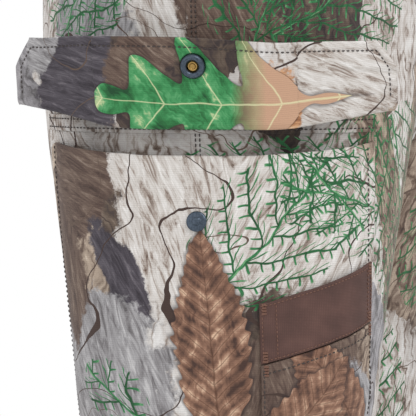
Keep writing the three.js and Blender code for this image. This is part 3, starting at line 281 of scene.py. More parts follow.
def bark_group():
    """Shading group of the print's ground: pieces of bark of four kinds, laid over each other."""
    tree = bpy.data.node_groups.new("bark_ground", "ShaderNodeTree")
    tree.interface.new_socket("Place", in_out="INPUT", socket_type="NodeSocketVector")
    for label in ("Kind Shift", "Lighten"):
        tree.interface.new_socket(label, in_out="INPUT", socket_type="NodeSocketFloat").default_value = 0
    tree.interface.new_socket("Color", in_out="OUTPUT", socket_type="NodeSocketColor")
    tree.interface.new_socket("Grain", in_out="OUTPUT", socket_type="NodeSocketFloat")
    taken = tree.nodes.new("NodeGroupInput").outputs
    given = tree.nodes.new("NodeGroupOutput").inputs
    wander = node(tree, "TexNoise", {0: taken["Place"], "Scale": 45, "Detail": 3, "Roughness": 0.6})
    wander = node(tree, "VectorMath", {0: wander.outputs["Color"], 1: (0.5, 0.5, 0.5)}, operation="SUBTRACT")
    bent = node(
        tree, "VectorMath", {0: wander, 1: (0.022, 0.03, 0), 2: taken["Place"]}, operation="MULTIPLY_ADD"
    )
    tall = node(tree, "VectorMath", {0: bent, 1: (1.0, 0.42, 1.0)}, operation="MULTIPLY")
    piece = node(
        tree, "TexVoronoi", {"Vector": tall, "Scale": 17, "Randomness": 1.0}, voronoi_dimensions="2D"
    )
    chance = node(tree, "SeparateColor", {0: piece.outputs["Color"]})
    lean = node(tree, "MapRange", {0: chance.outputs[0], 1: 0, 2: 1, 3: -0.75, 4: 0.75})
    turned = node(tree, "VectorRotate", {"Vector": bent, "Angle": lean}, rotation_type="Z_AXIS")
    long_grain = node(tree, "VectorMath", {0: turned, 1: (1.0, 0.13, 1.0)}, operation="MULTIPLY")
    grain = node(
        tree, "TexNoise", {"Vector": long_grain, "Scale": 260, "Detail": 5, "Roughness": 0.68}
    )
    plates = node(tree, "VectorMath", {0: turned, 1: (1.0, 0.3, 1.0)}, operation="MULTIPLY")
    cracks = node(
        tree, "TexVoronoi", {"Vector": plates, "Scale": 105, "Randomness": 0.95},
        voronoi_dimensions="2D", feature="DISTANCE_TO_EDGE",
    )
    crack = node(tree, "MapRange", {0: cracks, 1: 0.0, 2: 0.12, 3: 0.2, 4: 0.0})
    blotch = node(tree, "TexNoise", {0: bent, "Scale": 70, "Detail": 4, "Roughness": 0.65})
    tone = node(tree, "Math", {0: blotch.outputs[0], 1: 0.75, 2: grain.outputs[0]}, operation="MULTIPLY_ADD")
    tone = node(tree, "Math", {0: tone, 1: crack}, operation="SUBTRACT")
    tone = node(tree, "Math", {0: tone, 1: taken["Lighten"]}, operation="ADD")
    tone = node(tree, "MapRange", {0: tone, 1: 0.5, 2: 1.2, 3: 0, 4: 1})
    pale = node(tree, "ValToRGB", {0: tone}, stops=[
        (0.0, "#4A3A33"), (0.22, "#75665D"), (0.36, "#9F958E"), (0.5, "#BAB4B0"), (0.75, "#C9C6C4"),
        (1, "#D8D6D5"),
    ])
    tan = node(tree, "ValToRGB", {0: tone}, stops=[
        (0.0, "#3A2D29"), (0.3, "#5A493F"), (0.48, "#7A695D"), (0.62, "#958577"), (0.8, "#AD9C8C"),
        (1, "#C4B6A8"),
    ])
    dark = node(tree, "ValToRGB", {0: tone}, stops=[
        (0.0, "#2A2324"), (0.35, "#3F3534"), (0.6, "#55483F"), (0.85, "#6B5D52"), (1, "#85776A"),
    ])
    grey = node(tree, "ValToRGB", {0: tone}, stops=[
        (0.0, "#454244"), (0.3, "#6C696B"), (0.5, "#89868A"), (0.7, "#9E9B9E"), (1, "#B9B7B8"),
    ])
    kind = node(tree, "Math", {0: chance.outputs[1], 1: taken["Kind Shift"]}, operation="ADD")
    kind = node(tree, "Math", {0: kind}, operation="FRACT")
    colour = pale
    for limit, other in [(0.4, tan), (0.64, dark), (0.84, grey)]:
        passed = node(tree, "Math", {0: kind, 1: limit}, operation="GREATER_THAN")
        mixed = node(tree, "Mix", {0: passed, 6: colour, 7: other}, data_type="RGBA")
        colour = mixed.outputs[2]
    rim = node(tree, "MapRange", {0: piece, 1: 0.55, 2: 0.95, 3: 0.0, 4: 0.55})
    shaded = node(
        tree, "Mix", {0: rim, 6: colour, 7: linear("#2E2628")}, data_type="RGBA", blend_type="MULTIPLY"
    )
    tree.links.new(shaded.outputs[2], given["Color"])
    tree.links.new(grain.outputs[0], given["Grain"])
    return tree


BARK = bark_group()


def placed(tree, place, middle, turn):
    """Cloth coordinates moved and turned so that a motif's own origin and axis lie where it's printed."""
    moved = node(tree, "VectorMath", {0: place, 1: (*middle, 0)}, operation="SUBTRACT")
    return node(tree, "VectorRotate", {"Vector": moved, "Angle": -turn}, rotation_type="Z_AXIS")


def scattered(tree, place, gap, offset):
    """Coordinates of motifs strewn at random: turned about each one's own middle, with its chances."""
    moved = node(tree, "VectorMath", {0: place, 1: (*offset, 0)}, operation="ADD")
    cell = node(
        tree, "TexVoronoi", {"Vector": moved, "Scale": 1 / gap, "Randomness": 0.8}, voronoi_dimensions="2D"
    )
    chance = node(tree, "SeparateColor", {0: cell.outputs["Color"]})
    turn = node(tree, "Math", {0: chance.outputs[0], 1: 2 * math.pi}, operation="MULTIPLY")
    local = node(tree, "VectorMath", {0: moved, 1: cell.outputs["Position"]}, operation="SUBTRACT")
    local = node(tree, "VectorRotate", {"Vector": local, "Angle": turn}, rotation_type="Z_AXIS")
    return local, chance


GREENS = [(0.0, "#17361F"), (0.35, "#245A35"), (0.7, "#35774A"), (1.0, "#6A9F70")]
DEAD_LEAF = [(0, "#43302A"), (0.35, "#6B4E40"), (0.65, "#886654"), (0.85, "#A68570"), (1, "#C6A68D")]
OAK_LEAF = [(0, "#1B4529"), (0.3, "#2A6A3B"), (0.55, "#3A8550"), (0.8, "#579A66"), (1, "#A9BC8C")]


def leaf_over(tree, colour, group, local, size, ribs_hex, palette, grain, place, amount=None):
    """A printed leaf over the colours so far; size is its length, half width, vein gap and slant."""
    leaf = node(tree, "Group", node_tree=group)
    tree.links.new(local.outputs[0], leaf.inputs["Place"])
    for label, value in zip(("Length", "Half Width", "Vein Gap", "Slant"), size):
        leaf.inputs[label].default_value = value
    inside, cast = leaf.outputs["Inside"], leaf.outputs["Shadow"]
    if amount is not None:
        inside = node(tree, "Math", {0: inside, 1: amount}, operation="MULTIPLY")
        cast = node(tree, "Math", {0: cast, 1: amount}, operation="MULTIPLY")
    cast = node(tree, "Math", {0: cast, 1: 0.65}, operation="MULTIPLY")
    colour = node(tree, "Mix", {0: cast, 6: colour, 7: linear("#2A2022")}, data_type="RGBA").outputs[2]
    mottle = node(tree, "TexNoise", {0: place, "Scale": 75, "Detail": 3, "Roughness": 0.6})
    shade = node(tree, "Math", {0: leaf.outputs["Furrow"], 1: -0.28, 2: grain}, operation="MULTIPLY_ADD")
    shade = node(tree, "Math", {0: mottle.outputs[0], 1: 1.1, 2: shade}, operation="MULTIPLY_ADD")
    shade = node(tree, "MapRange", {0: shade, 1: 0.62, 2: 1.22})
    face = node(tree, "ValToRGB", {0: shade}, stops=palette).outputs[0]
    ribs = node(tree, "Math", {0: leaf.outputs["Vein"], 1: leaf.outputs["Midrib"]}, operation="MAXIMUM")
    ribs = node(tree, "Math", {0: ribs, 1: 0.75}, operation="MULTIPLY")
    if group is OAK:
        faded = node(tree, "MapRange", {0: leaf.outputs["Along"], 1: 0.44, 2: 0.3})
        face = node(tree, "Mix", {0: faded, 6: face, 7: linear("#B8937A")}, data_type="RGBA").outputs[2]
    face = node(tree, "Mix", {0: ribs, 6: face, 7: linear(ribs_hex)}, data_type="RGBA").outputs[2]
    return node(tree, "Mix", {0: inside, 6: colour, 7: face}, data_type="RGBA").outputs[2]


def spray_over(tree, colour, local, size, grain, amount=None):
    """Printed evergreen spray over the colours so far; size is its length and half width."""
    spray = node(tree, "Group", node_tree=SPRAY)
    tree.links.new(local.outputs[0], spray.inputs["Place"])
    for label, value in zip(("Length", "Half Width"), size):
        spray.inputs[label].default_value = value
    inside = spray.outputs["Inside"]
    if amount is not None:
        inside = node(tree, "Math", {0: inside, 1: amount}, operation="MULTIPLY")
    shade = node(tree, "Math", {0: spray.outputs["Tip"], 1: 0.45, 2: grain}, operation="MULTIPLY_ADD")
    shade = node(tree, "MapRange", {0: shade, 1: 0.3, 2: 1.05})
    return node(tree, "Mix", {
        0: inside, 6: colour, 7: node(tree, "ValToRGB", {0: shade}, stops=GREENS).outputs[0]
    }, data_type="RGBA").outputs[2]


def patch_over(tree, colour, place, middle, half, turn, stops):
    """A patch of other bark with a ragged outline, its streaks running across its turn."""
    local = placed(tree, place, middle, turn)
    share = node(tree, "VectorMath", {0: local, 1: (1 / half[0], 1 / half[1], 0)}, operation="MULTIPLY")
    far = node(tree, "VectorMath", {0: share}, operation="LENGTH")
    ragged = node(tree, "TexNoise", {0: place, "Scale": 46, "Detail": 7, "Roughness": 0.72})
    far = node(
        tree, "Math", {0: ragged.outputs[0], 1: 1.5, 2: far.outputs["Value"]}, operation="MULTIPLY_ADD"
    )
    within = node(tree, "MapRange", {0: far, 1: 1.8, 2: 1.68})
    streak = node(tree, "VectorMath", {0: local, 1: (240.0, 42.0, 1.0)}, operation="MULTIPLY")
    streaks = node(
        tree, "TexNoise", {0: streak, "Scale": 1.0, "Detail": 8, "Roughness": 0.72, "Distortion": 0.9}
    )
    level = node(tree, "MapRange", {0: streaks.outputs[0], 1: 0.33, 2: 0.66})
    return node(tree, "Mix", {
        0: within, 6: colour, 7: node(tree, "ValToRGB", {0: level}, stops=stops).outputs[0]
    }, data_type="RGBA").outputs[2]


# Strewn motifs: kind, gap between them in metres, shift, and the share of places that are printed.
STREWN = [
    ("spray", 0.15, (0.013, 0.021), 0.42), ("leaf", 0.15, (0.52, 0.41), 0.34),
    ("spray", 0.12, (0.31, 0.17), 0.3),
    ("oak", 0.21, (0.77, 0.63), 0.3),
]


def printed_cloth(name, shift=(0.0, 0.0), lighten=0.0, patches=(), strewn=(), heroes=()):
    """The printed polyester face: bark, patches, strewn motifs, then this piece's own large motifs."""
    made, tree, shader = surface(name, {"Roughness": 0.8, "Specular IOR Level": 0.28, "Sheen Weight": 0.05})
    uv = node(tree, "UVMap", uv_map="cloth")
    place = node(tree, "VectorMath", {0: uv, 1: (*shift, 0)}, operation="ADD")
    wobble = node(tree, "TexNoise", {0: place, "Scale": 34, "Detail": 2.5})
    wobble = node(tree, "VectorMath", {0: wobble.outputs["Color"], 1: (0.5, 0.5, 0.5)}, operation="SUBTRACT")
    much = node(tree, "VectorMath", {0: wobble, 3: 16 * mm}, operation="SCALE")
    little = node(tree, "VectorMath", {0: wobble, 3: 7 * mm}, operation="SCALE")
    bent = node(tree, "VectorMath", {0: place, 1: much}, operation="ADD")
    hero_place = node(tree, "VectorMath", {0: uv, 1: little}, operation="ADD")
    hero_bent = node(tree, "VectorMath", {0: uv, 1: much}, operation="ADD")
    bark = node(tree, "Group", node_tree=BARK)
    tree.links.new(place.outputs[0], bark.inputs["Place"])
    bark.inputs["Lighten"].default_value = lighten
    colour, grain = bark.outputs["Color"], bark.outputs["Grain"]
    for middle, half, turn, stops in patches:
        colour = patch_over(tree, colour, uv, middle, half, turn, stops)
    twig = node(tree, "TexNoise", {0: bent, "Scale": 13, "Detail": 0.4, "Distortion": 0.5})
    for level, half, hexcode in [(0.42, 0.0036, "#40312C"), (0.6, 0.0028, "#5A4A41")]:
        off = node(tree, "Math", {0: twig.outputs[0], 1: level, 2: half}, operation="COMPARE")
        colour = node(tree, "Mix", {0: off, 6: colour, 7: linear(hexcode)}, data_type="RGBA").outputs[2]
    for kind, gap, offset, limit in strewn:
        local, chance = scattered(tree, bent, gap, offset)
        local = node(tree, "VectorMath", {0: local, 1: (gap * 0.42, 0, 0)}, operation="ADD")
        there = node(tree, "Math", {0: chance.outputs[1], 1: limit}, operation="LESS_THAN")
        if kind == "spray":
            colour = spray_over(tree, colour, local, (gap * 0.95, gap * 0.4), grain, there)
        elif kind == "leaf":
            size = (gap * 0.72, gap * 0.13, gap * 0.055, 0.9)
            colour = leaf_over(tree, colour, BEECH, local, size, "#4A2F22", DEAD_LEAF, grain, place, there)
        else:
            size = (gap * 0.6, gap * 0.16, gap * 0.125, 0.9)
            colour = leaf_over(tree, colour, OAK, local, size, "#D3D6A4", OAK_LEAF, grain, place, there)
    for kind, stem, turn, size in heroes:
        if kind == "spray":
            local = placed(tree, hero_bent, stem, turn)
            colour = spray_over(tree, colour, local, size, grain)
            continue
        local = placed(tree, hero_place, stem, turn)
        group, ribs_hex, palette = (
            (BEECH, "#4A2F22", DEAD_LEAF) if kind == "leaf" else (OAK, "#D8D9AC", OAK_LEAF)
        )
        colour = leaf_over(tree, colour, group, local, size, ribs_hex, palette, grain, uv)
    rows = node(tree, "SeparateXYZ", {0: uv})
    rib = node(tree, "Math", {0: rows.outputs[1], 1: 2 * math.pi / RIB}, operation="MULTIPLY")
    rib = node(tree, "Math", {0: rib}, operation="SINE")
    yarn = node(tree, "TexNoise", {0: uv, "Scale": 1400, "Detail": 1})
    relief = node(tree, "Math", {0: rib, 1: 0.3, 2: yarn.outputs[0]}, operation="MULTIPLY_ADD")
    # Painted shade and highlight of the ribs: the print is darkened in their troughs and lightened on their
    # crests, together with the random tone of the yarn.
    rib_shade_and_yarn_tone = node(tree, "MapRange", {0: relief, 1: 0.0, 2: 1.0, 3: 0.9, 4: 1.06})
    colour = node(tree, "VectorMath", {0: colour, 1: rib_shade_and_yarn_tone}, operation="MULTIPLY")
    tree.links.new(colour.outputs[0], shader.inputs["Base Color"])
    bump = node(tree, "Bump", {"Height": relief, "Strength": 0.3, "Distance": 0.25 * mm})
    tree.links.new(bump.outputs[0], shader.inputs["Normal"])
    return made


# Colours of the patches of bark, from their fissures to their faces. A patch below is its middle,
# half size, turn and colours; a large motif is its kind, stem, turn and size. Metres on the cloth.
BROWN_BARK = [(0, "#3A2D29"), (0.4, "#55443D"), (0.75, "#6B5A50"), (1, "#85756A")]
DARK_BARK = [(0, "#29242A"), (0.4, "#3E3940"), (0.75, "#524D54"), (1, "#6A646A")]
WHITE_BARK = [(0, "#5A473D"), (0.3, "#9A8E86"), (0.5, "#BDB7B2"), (0.8, "#CDC9C6"), (1, "#DAD7D5")]
GREY_BARK = [(0, "#4E4A4B"), (0.35, "#7C797B"), (0.7, "#9C9A9C"), (1, "#B9B7B8")]
TAN_BARK = [(0, "#7A4F38"), (0.4, "#B07F5A"), (0.75, "#CCA07C"), (1, "#DDBEA0")]
CAMO_BODY = printed_cloth("printed_polyester_body", strewn=STREWN)
CAMO_LEG = printed_cloth("printed_polyester_leg", shift=(0.3, 0.1), strewn=STREWN[:1], patches=[
    ((-0.03, 0.79), (0.06, 0.05), 0.35, WHITE_BARK), ((-0.075, 0.77), (0.035, 0.04), -0.3, GREY_BARK),
    ((0.02, 0.78), (0.025, 0.06), 0.5, BROWN_BARK),
], heroes=[
    ("spray", (-0.045, 0.83), -2.3, (0.075, 0.035)), ("spray", (0.03, 0.76), 1.2, (0.09, 0.04)),
    ("spray", (0.115, 0.735), -1.9, (0.085, 0.035)),
])
CAMO_POCKET = printed_cloth("printed_polyester_pocket", shift=(0.12, 0.37), lighten=0.1, patches=[
    ((0.0, 0.655), (0.055, 0.05), 0.25, WHITE_BARK), ((0.07, 0.66), (0.06, 0.05), -0.5, WHITE_BARK),
    ((-0.075, 0.69), (0.05, 0.028), 1.2, BROWN_BARK), ((-0.028, 0.69), (0.022, 0.03), 0.4, WHITE_BARK),
    ((-0.046, 0.63), (0.011, 0.036), 0.5, DARK_BARK), ((-0.06, 0.57), (0.045, 0.05), 0.3, GREY_BARK),
    ((0.045, 0.56), (0.035, 0.05), -0.2, BROWN_BARK), ((-0.09, 0.63), (0.02, 0.04), 0.2, BROWN_BARK),
], heroes=[
    ("spray", (0.012, 0.622), 0.9, (0.1, 0.042)), ("spray", (0.125, 0.665), 2.9, (0.085, 0.035)),
    ("spray", (0.05, 0.712), -0.9, (0.075, 0.03)), ("spray", (-0.035, 0.545), 2.4, (0.05, 0.02)),
    ("leaf", (0.01, 0.524), 1.64, (0.135, 0.0215, 0.0085, 1.0)),
])
CAMO_FLAP = printed_cloth("printed_polyester_flap", shift=(0.61, 0.22), patches=[
    ((-0.075, 0.747), (0.055, 0.03), 1.45, DARK_BARK), ((-0.1, 0.762), (0.022, 0.012), 1.3, GREY_BARK),
    ((0.09, 0.742), (0.045, 0.032), 1.1, WHITE_BARK), ((0.045, 0.727), (0.028, 0.016), 1.5, TAN_BARK),
    ((-0.03, 0.76), (0.03, 0.018), 0.9, BROWN_BARK),
], heroes=[
    ("oak", (0.086, 0.7295), 3.12, (0.146, 0.042, 0.035, 0.6)),
])
CAMO_TOOL = printed_cloth("printed_polyester_pouch", shift=(0.93, 0.51), patches=[
    ((0.055, 0.57), (0.035, 0.05), 0.2, BROWN_BARK), ((0.085, 0.55), (0.025, 0.03), 0.5, GREY_BARK),
], heroes=[
    ("leaf", (0.095, 0.525), 2.15, (0.09, 0.018, 0.0075, 1.0)),
    ("leaf", (0.03, 0.52), 0.9, (0.08, 0.016, 0.0075, 1.0)),
])

# ---- Legs ----------------------------------------------------------------------------------
# Each leg is cut as a front and a back panel, lapped and topstitched down the outside and the
# inside, then taped on the inner face. The cloth hangs almost smooth and gathers over the knee.
FINE = 2


class Tube:
    """The outer face of cloth that goes round an upright axis, read from the frame and smoothed.

    turn is 0 at the wearer's outer side and grows towards the front, and girth is measured from
    turn 0 along the cloth, so (girth, height) are the places on the cut panels.
    """

    TURNS = 160

    def __init__(self, names, side, low, high):
        corners = [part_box(name) for name in names]
        sheets = [nodes[name].data for name in names]
        points = np.array([v.co for sheet in sheets for v in sheet.vertices])
        heights = np.linspace(low, high, 24)
        spans = []
        for height in heights:
            near = points[np.abs(points[:, 2] - height) < 0.6 * (high - low) / 10]
            spans.append(((near.min(0) + near.max(0)) / 2)[:2])
        self.middle = [np.polyfit(heights, np.array(spans)[:, k], 3) for k in (0, 1)]
        self.side = side
        self.low, self.high = low, high
        self.heights = np.linspace(low, high, max(12, round((high - low) / 0.006)))
        self.turns = -math.pi + (np.arange(self.TURNS) + 0.5) * 2 * math.pi / self.TURNS
        trees = [
            BVHTree.FromPolygons([v.co for v in s.vertices], [p.vertices for p in s.polygons]) for s in sheets
        ]
        radius = np.full((len(self.heights), self.TURNS), np.nan)
        for row, height in enumerate(self.heights):
            x, y = (np.polyval(fit, height) for fit in self.middle)
            for column, turn in enumerate(self.turns):
                way = Vector((side * math.cos(turn), -math.sin(turn), 0))
                start = Vector((x, y, height)) + way * 0.5
                hits = [tree.ray_cast(start, -way, 0.5)[3] for tree in trees]
                hits = [hit for hit in hits if hit is not None]
                if hits:
                    radius[row, column] = 0.5 - min(hits)
        self.top = np.array([
            self.heights[np.flatnonzero(~np.isnan(radius[:, c]))[-1]] for c in range(self.TURNS)
        ])
        for column in range(self.TURNS):
            known = ~np.isnan(radius[:, column])
            radius[:, column] = np.interp(self.heights, self.heights[known], radius[known, column])
        for _ in range(3):
            radius = (np.roll(radius, 1, 1) + 2 * radius + np.roll(radius, -1, 1)) / 4
            inner = (radius[:-2] + 2 * radius[1:-1] + radius[2:]) / 4
            radius = np.vstack([radius[:1], inner, radius[-1:]])
        self.radius = np.hstack([radius[:, -3:], radius, radius[:, :3]])
        step = 2 * math.pi / self.TURNS
        self.wide_turns = self.turns[0] + step * (np.arange(self.TURNS + 6) - 3)
        place = self.bare(*np.meshgrid(self.wide_turns, self.heights))
        steps = np.linalg.norm(np.diff(place, axis=1), axis=2)
        length = np.hstack([np.zeros((len(steps), 1)), np.cumsum(steps, axis=1)])
        zero = np.array([np.interp(0, self.wide_turns, line) for line in length])
        self.length = length - zero[:, None]

    def table(self, values, turn, height):
        """Values of a table at these turns and heights, between its entries."""
        column = (np.asarray(turn) - self.wide_turns[0]) / (self.wide_turns[1] - self.wide_turns[0])
        row = (np.asarray(height) - self.low) / (self.high - self.low) * (len(self.heights) - 1)
        column = np.clip(column, 0, values.shape[1] - 1.001)
        row = np.clip(row, 0, values.shape[0] - 1.001)
        c, r = column.astype(int), row.astype(int)
        u, v = column - c, row - r
        lower = values[r, c] * (1 - u) + values[r, c + 1] * u
        upper = values[r + 1, c] * (1 - u) + values[r + 1, c + 1] * u
        return lower * (1 - v) + upper * v

    def bare(self, turn, height):
        radius = self.table(self.radius, turn, height)
        x = np.polyval(self.middle[0], height) + self.side * radius * np.cos(turn)
        y = np.polyval(self.middle[1], height) - radius * np.sin(turn)
        return np.stack([x, y, height + 0 * radius], axis=-1)

    def normal(self, turn, height):
        across = self.bare(turn + 0.03, height) - self.bare(turn - 0.03, height)
        up = self.bare(turn, height + 0.003) - self.bare(turn, height - 0.003)
        out = np.cross(across, up) * self.side * -1
        out /= np.linalg.norm(out, axis=-1, keepdims=True)
        return out if out.size == 0 else np.where(
            (np.sum(out[..., :2] * (self.bare(turn, height) - self.centre(height))[..., :2],
                axis=-1) < 0)[..., None],
            -out, out,
        )

    def centre(self, height):
        return np.stack(
            [np.polyval(fit, height) for fit in self.middle] + [np.asarray(height) + 0.0], axis=-1
        )

    def turn_at(self, girth, height):
        """Turns of places given by girth and height."""
        girth, height = np.broadcast_arrays(np.asarray(girth, float), np.asarray(height, float))
        turn = girth / self.length[:, -1].mean() * math.pi
        for _ in range(7):
            found = self.table(self.length, turn, height)
            slope = (
                self.table(self.length, turn + 0.02, height) - self.table(self.length, turn - 0.02, height)
            ) / 0.04
            turn = np.clip(turn + (girth - found) / np.maximum(slope, 0.03), -3.2, 3.2)
        return turn

    def at(self, girth, height, off=0.0):
        """Points off the cloth's outer face, from girth and height."""
        turn = self.turn_at(girth, height)
        out = self.normal(turn, np.asarray(height, float))
        return self.bare(turn, np.asarray(height, float)) + out * np.asarray(off)[..., None]

    def girth_of(self, points):
        centre = self.centre(points[:, 2])
        turn = np.arctan2(-(points[:, 1] - centre[:, 1]), self.side * (points[:, 0] - centre[:, 0]))
        return self.table(self.length, turn, points[:, 2])


def grid_piece(name, points, places, material, wrap=False, flip=False):
    """A smooth mesh over a grid of points, rows by columns, with its cloth coordinates."""
    rows, columns = points.shape[:2]
    index = np.arange(rows * columns).reshape(rows, columns)
    if wrap:
        index = np.vstack([index, index[:1]])
    a, b, c, d = index[:-1, :-1], index[:-1, 1:], index[1:, 1:], index[1:, :-1]
    faces = np.stack([a, d, c, b] if flip else [a, b, c, d], axis=-1).reshape(-1, 4)
    mesh = bpy.data.meshes.new(name)
    mesh.from_pydata(points.reshape(-1, 3).tolist(), [], faces.tolist())
    uv = mesh.uv_layers.new(name="cloth")
    flat = places.reshape(-1, 2)[faces.reshape(-1)]
    uv.data.foreach_set("uv", flat.astype(np.float32).ravel())
    mesh.polygons.foreach_set("use_smooth", [True] * len(mesh.polygons))
    mesh.materials.append(material)
    made = bpy.data.objects.new(name, mesh)
    bpy.context.scene.collection.objects.link(made)
    return made


def facing_out(points, way):
    """True where a grid's own winding faces the given way."""
    across = points[len(points) // 2, 1:] - points[len(points) // 2, :-1]
    up = points[1:, points.shape[1] // 2] - points[:-1, points.shape[1] // 2]
    normal = np.cross(across.mean(0), up.mean(0))
    return float(normal @ np.asarray(way)) > 0


def creases(girth, height, seed, slope=0.35, lengths=(0.03, 0.09), count=6):
    """Shallow folds of hanging cloth, between about -1 and 1, running round and slanting a little."""
    chance = np.random.default_rng(seed)
    total = 0
    for _ in range(count):
        lean = chance.uniform(-slope, slope)
        across = height * math.cos(lean) + girth * math.sin(lean)
        along = girth * math.cos(lean) - height * math.sin(lean)
        wander = 0.9 * np.sin(along / chance.uniform(0.02, 0.05) + chance.uniform(0, 6))
        wave = np.sin(2 * math.pi * across / chance.uniform(*lengths) + chance.uniform(0, 6) + wander)
        fade = 0.5 + 0.5 * np.sin(along / chance.uniform(0.03, 0.08) + chance.uniform(0, 6))
        total = total + wave * fade
    return total / (0.5 * count)


def eased(value, start, end):
    share = np.clip((np.asarray(value, float) - start) / (end - start), 0, 1)
    return share * share * (3 - 2 * share)


THREAD_R = 0.42 * mm
STITCH = 3.0 * mm  # one stitch and its gap


def stitches(name, lines, material, pitch=STITCH, radius=THREAD_R, gap=0.75 * mm):
    """Rows of lockstitch along lines, each given as its points and the cloth's normals there."""
    corners, faces = [], []
    ring = np.linspace(0, 2 * math.pi, 6, endpoint=False)
    thin = [0.25, 0.9, 1.0, 0.9, 0.25]
    high = [-0.5, 0.35, 0.6, 0.35, -0.5]
    for points, normals in lines:
        steps = np.linalg.norm(np.diff(points, axis=0), axis=1)
        along = np.concatenate([[0], np.cumsum(steps)])
        for k in range(int(along[-1] / pitch)):
            places = k * pitch + gap / 2 + np.linspace(0, pitch - gap, 5)
            line = np.stack([np.interp(places, along, points[:, i]) for i in range(3)], axis=1)
            out = np.stack([np.interp(places, along, normals[:, i]) for i in range(3)], axis=1)
            out /= np.linalg.norm(out, axis=1, keepdims=True)
            way = line[-1] - line[0]
            way /= np.linalg.norm(way)
            across = np.cross(way, out)
            base = len(corners)
            for j in range(5):
                centre = line[j] + out[j] * radius * high[j]
                for angle in ring:
                    corners.append(
                        centre + radius * thin[j] * (math.cos(angle) * across[j] + math.sin(angle) * out[j])
                    )
            for j in range(4):
                for i in range(6):
                    low, next_low = base + j * 6 + i, base + j * 6 + (i + 1) % 6
                    faces.append((low, next_low, next_low + 6, low + 6))
            faces.append(tuple(base + i for i in reversed(range(6))))
            faces.append(tuple(base + 24 + i for i in range(6)))
    mesh = bpy.data.meshes.new(name)
    mesh.from_pydata([tuple(c) for c in corners], [], faces)
    mesh.polygons.foreach_set("use_smooth", [True] * len(mesh.polygons))
    mesh.materials.append(material)
    made = bpy.data.objects.new(name, mesh)
    bpy.context.scene.collection.objects.link(made)
    return made


def seam_line(tube, girths, heights, off):
    """A line on a tube and the cloth's normals along it, for a row of stitches."""
    girths, heights = np.broadcast_arrays(np.asarray(girths, float), np.asarray(heights, float))
    turn = tube.turn_at(girths, heights)
    return tube.at(girths, heights, off + 0 * girths), tube.normal(turn, heights)


def thread_material(name, hexcode):
    made, tree, shader = surface(name, {"Base Color": linear(hexcode), "Roughness": 0.6})
    return made


BROWN_THREAD = thread_material("brown_thread", "#6B4A3C")
DARK_THREAD = thread_material("dark_thread", "#3A3230")


def lining():
    """Knitted polyester lining, a plain mid grey on the inner face."""
    made, tree, shader = surface("grey_lining", {"Base Color": linear("#75777A"), "Roughness": 0.9})
    knit = node(tree, "TexVoronoi", {"Scale": 700})
    bump = node(tree, "Bump", {"Height": knit, "Strength": 0.3, "Distance": 0.3 * mm})
    tree.links.new(bump.outputs[0], shader.inputs["Normal"])
    return made


LINING = lining()
WALL = 3 * mm


def lined(piece, wall=WALL):
    """Gives a cloth piece its real wall, with the lining on the inside."""
    piece.data.materials.append(LINING)
    thick = piece.modifiers.new("wall", "SOLIDIFY")
    thick.thickness = wall
    thick.offset = -1
    thick.material_offset = 1
    thick.material_offset_rim = 0
    return piece


SIDES = {"right": -1, "left": 1}
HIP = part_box("right_leg_front")[1].z
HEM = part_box("right_leg_front")[0].z
legs = {
    name: Tube([f"{name}_leg_front", f"{name}_leg_back"], side, HEM, HIP) for name, side in SIDES.items()
}
LAP = 5 * mm


def leg_relief(girth, height):
    """Folds over the shin and knee, dying out up the thigh."""
    low = 1 - eased(height, HEM + 0.06, HEM + 0.23)
    wave = creases(girth, height, 11, lengths=(0.028, 0.075))
    broad = creases(girth, height, 5, slope=0.8, lengths=(0.07, 0.16))
    ends = eased(height, HEM + 0.03, HEM + 0.07) * (1 - eased(height, HIP - 0.05, HIP - 0.01))
    return (low * wave * 2.2 + broad * 0.9) * mm * ends


for name, side in SIDES.items():
    leg = legs[name]
    for part, first, last, proud in (("back", -math.pi, 0, 0), ("front", 0, math.pi, 0.5 * mm)):
        columns, rows = 110 * FINE, 130 * FINE
        heights = np.linspace(HEM, HIP, rows)[:, None] + np.zeros((1, columns))
        margin = LAP / 0.09 if proud else 0
        turns = np.linspace(first - margin, last + margin, columns)[None, :] + 0 * heights
        girths = leg.table(leg.length, turns, heights)
        girths = np.where(turns > math.pi, leg.table(
            leg.length, turns * 0 + math.pi, heights
        ) + (turns - math.pi) * 0.09, girths)
        inward = 1 - (np.abs(turns) / math.pi) ** 6
        edge = np.minimum(turns - turns[:, :1], turns[:, -1:] - turns)
        lift = proud * eased(edge, 0, 0.012)
        off = lift + leg_relief(girths, heights) * np.clip(inward, 0, 1)
        points = leg.bare(turns, heights) + leg.normal(turns, heights) * off[..., None]
        out = leg.normal(turns[rows // 2], heights[rows // 2])[columns // 2]
        places = np.stack([girths, heights], axis=-1)
        panel = grid_piece(
            f"{name}_leg_{part}_cloth", points, places, CAMO_LEG, flip=not facing_out(points, out)
        )
        lined(panel)
        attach(panel, "waders")
        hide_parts(f"{name}_leg_{part}")
    rows_of = []
    for girth in (-2 * mm, 0.5 * mm):
        heights = np.linspace(HEM + 0.035, HIP - 0.006, 160)
        relief = leg_relief(girth + 0 * heights, heights)
        rows_of.append(seam_line(leg, girth, heights, 0.9 * mm + relief))
    made = stitches(f"{name}_leg_seam_stitches", rows_of, DARK_THREAD)
    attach(made, "waders")

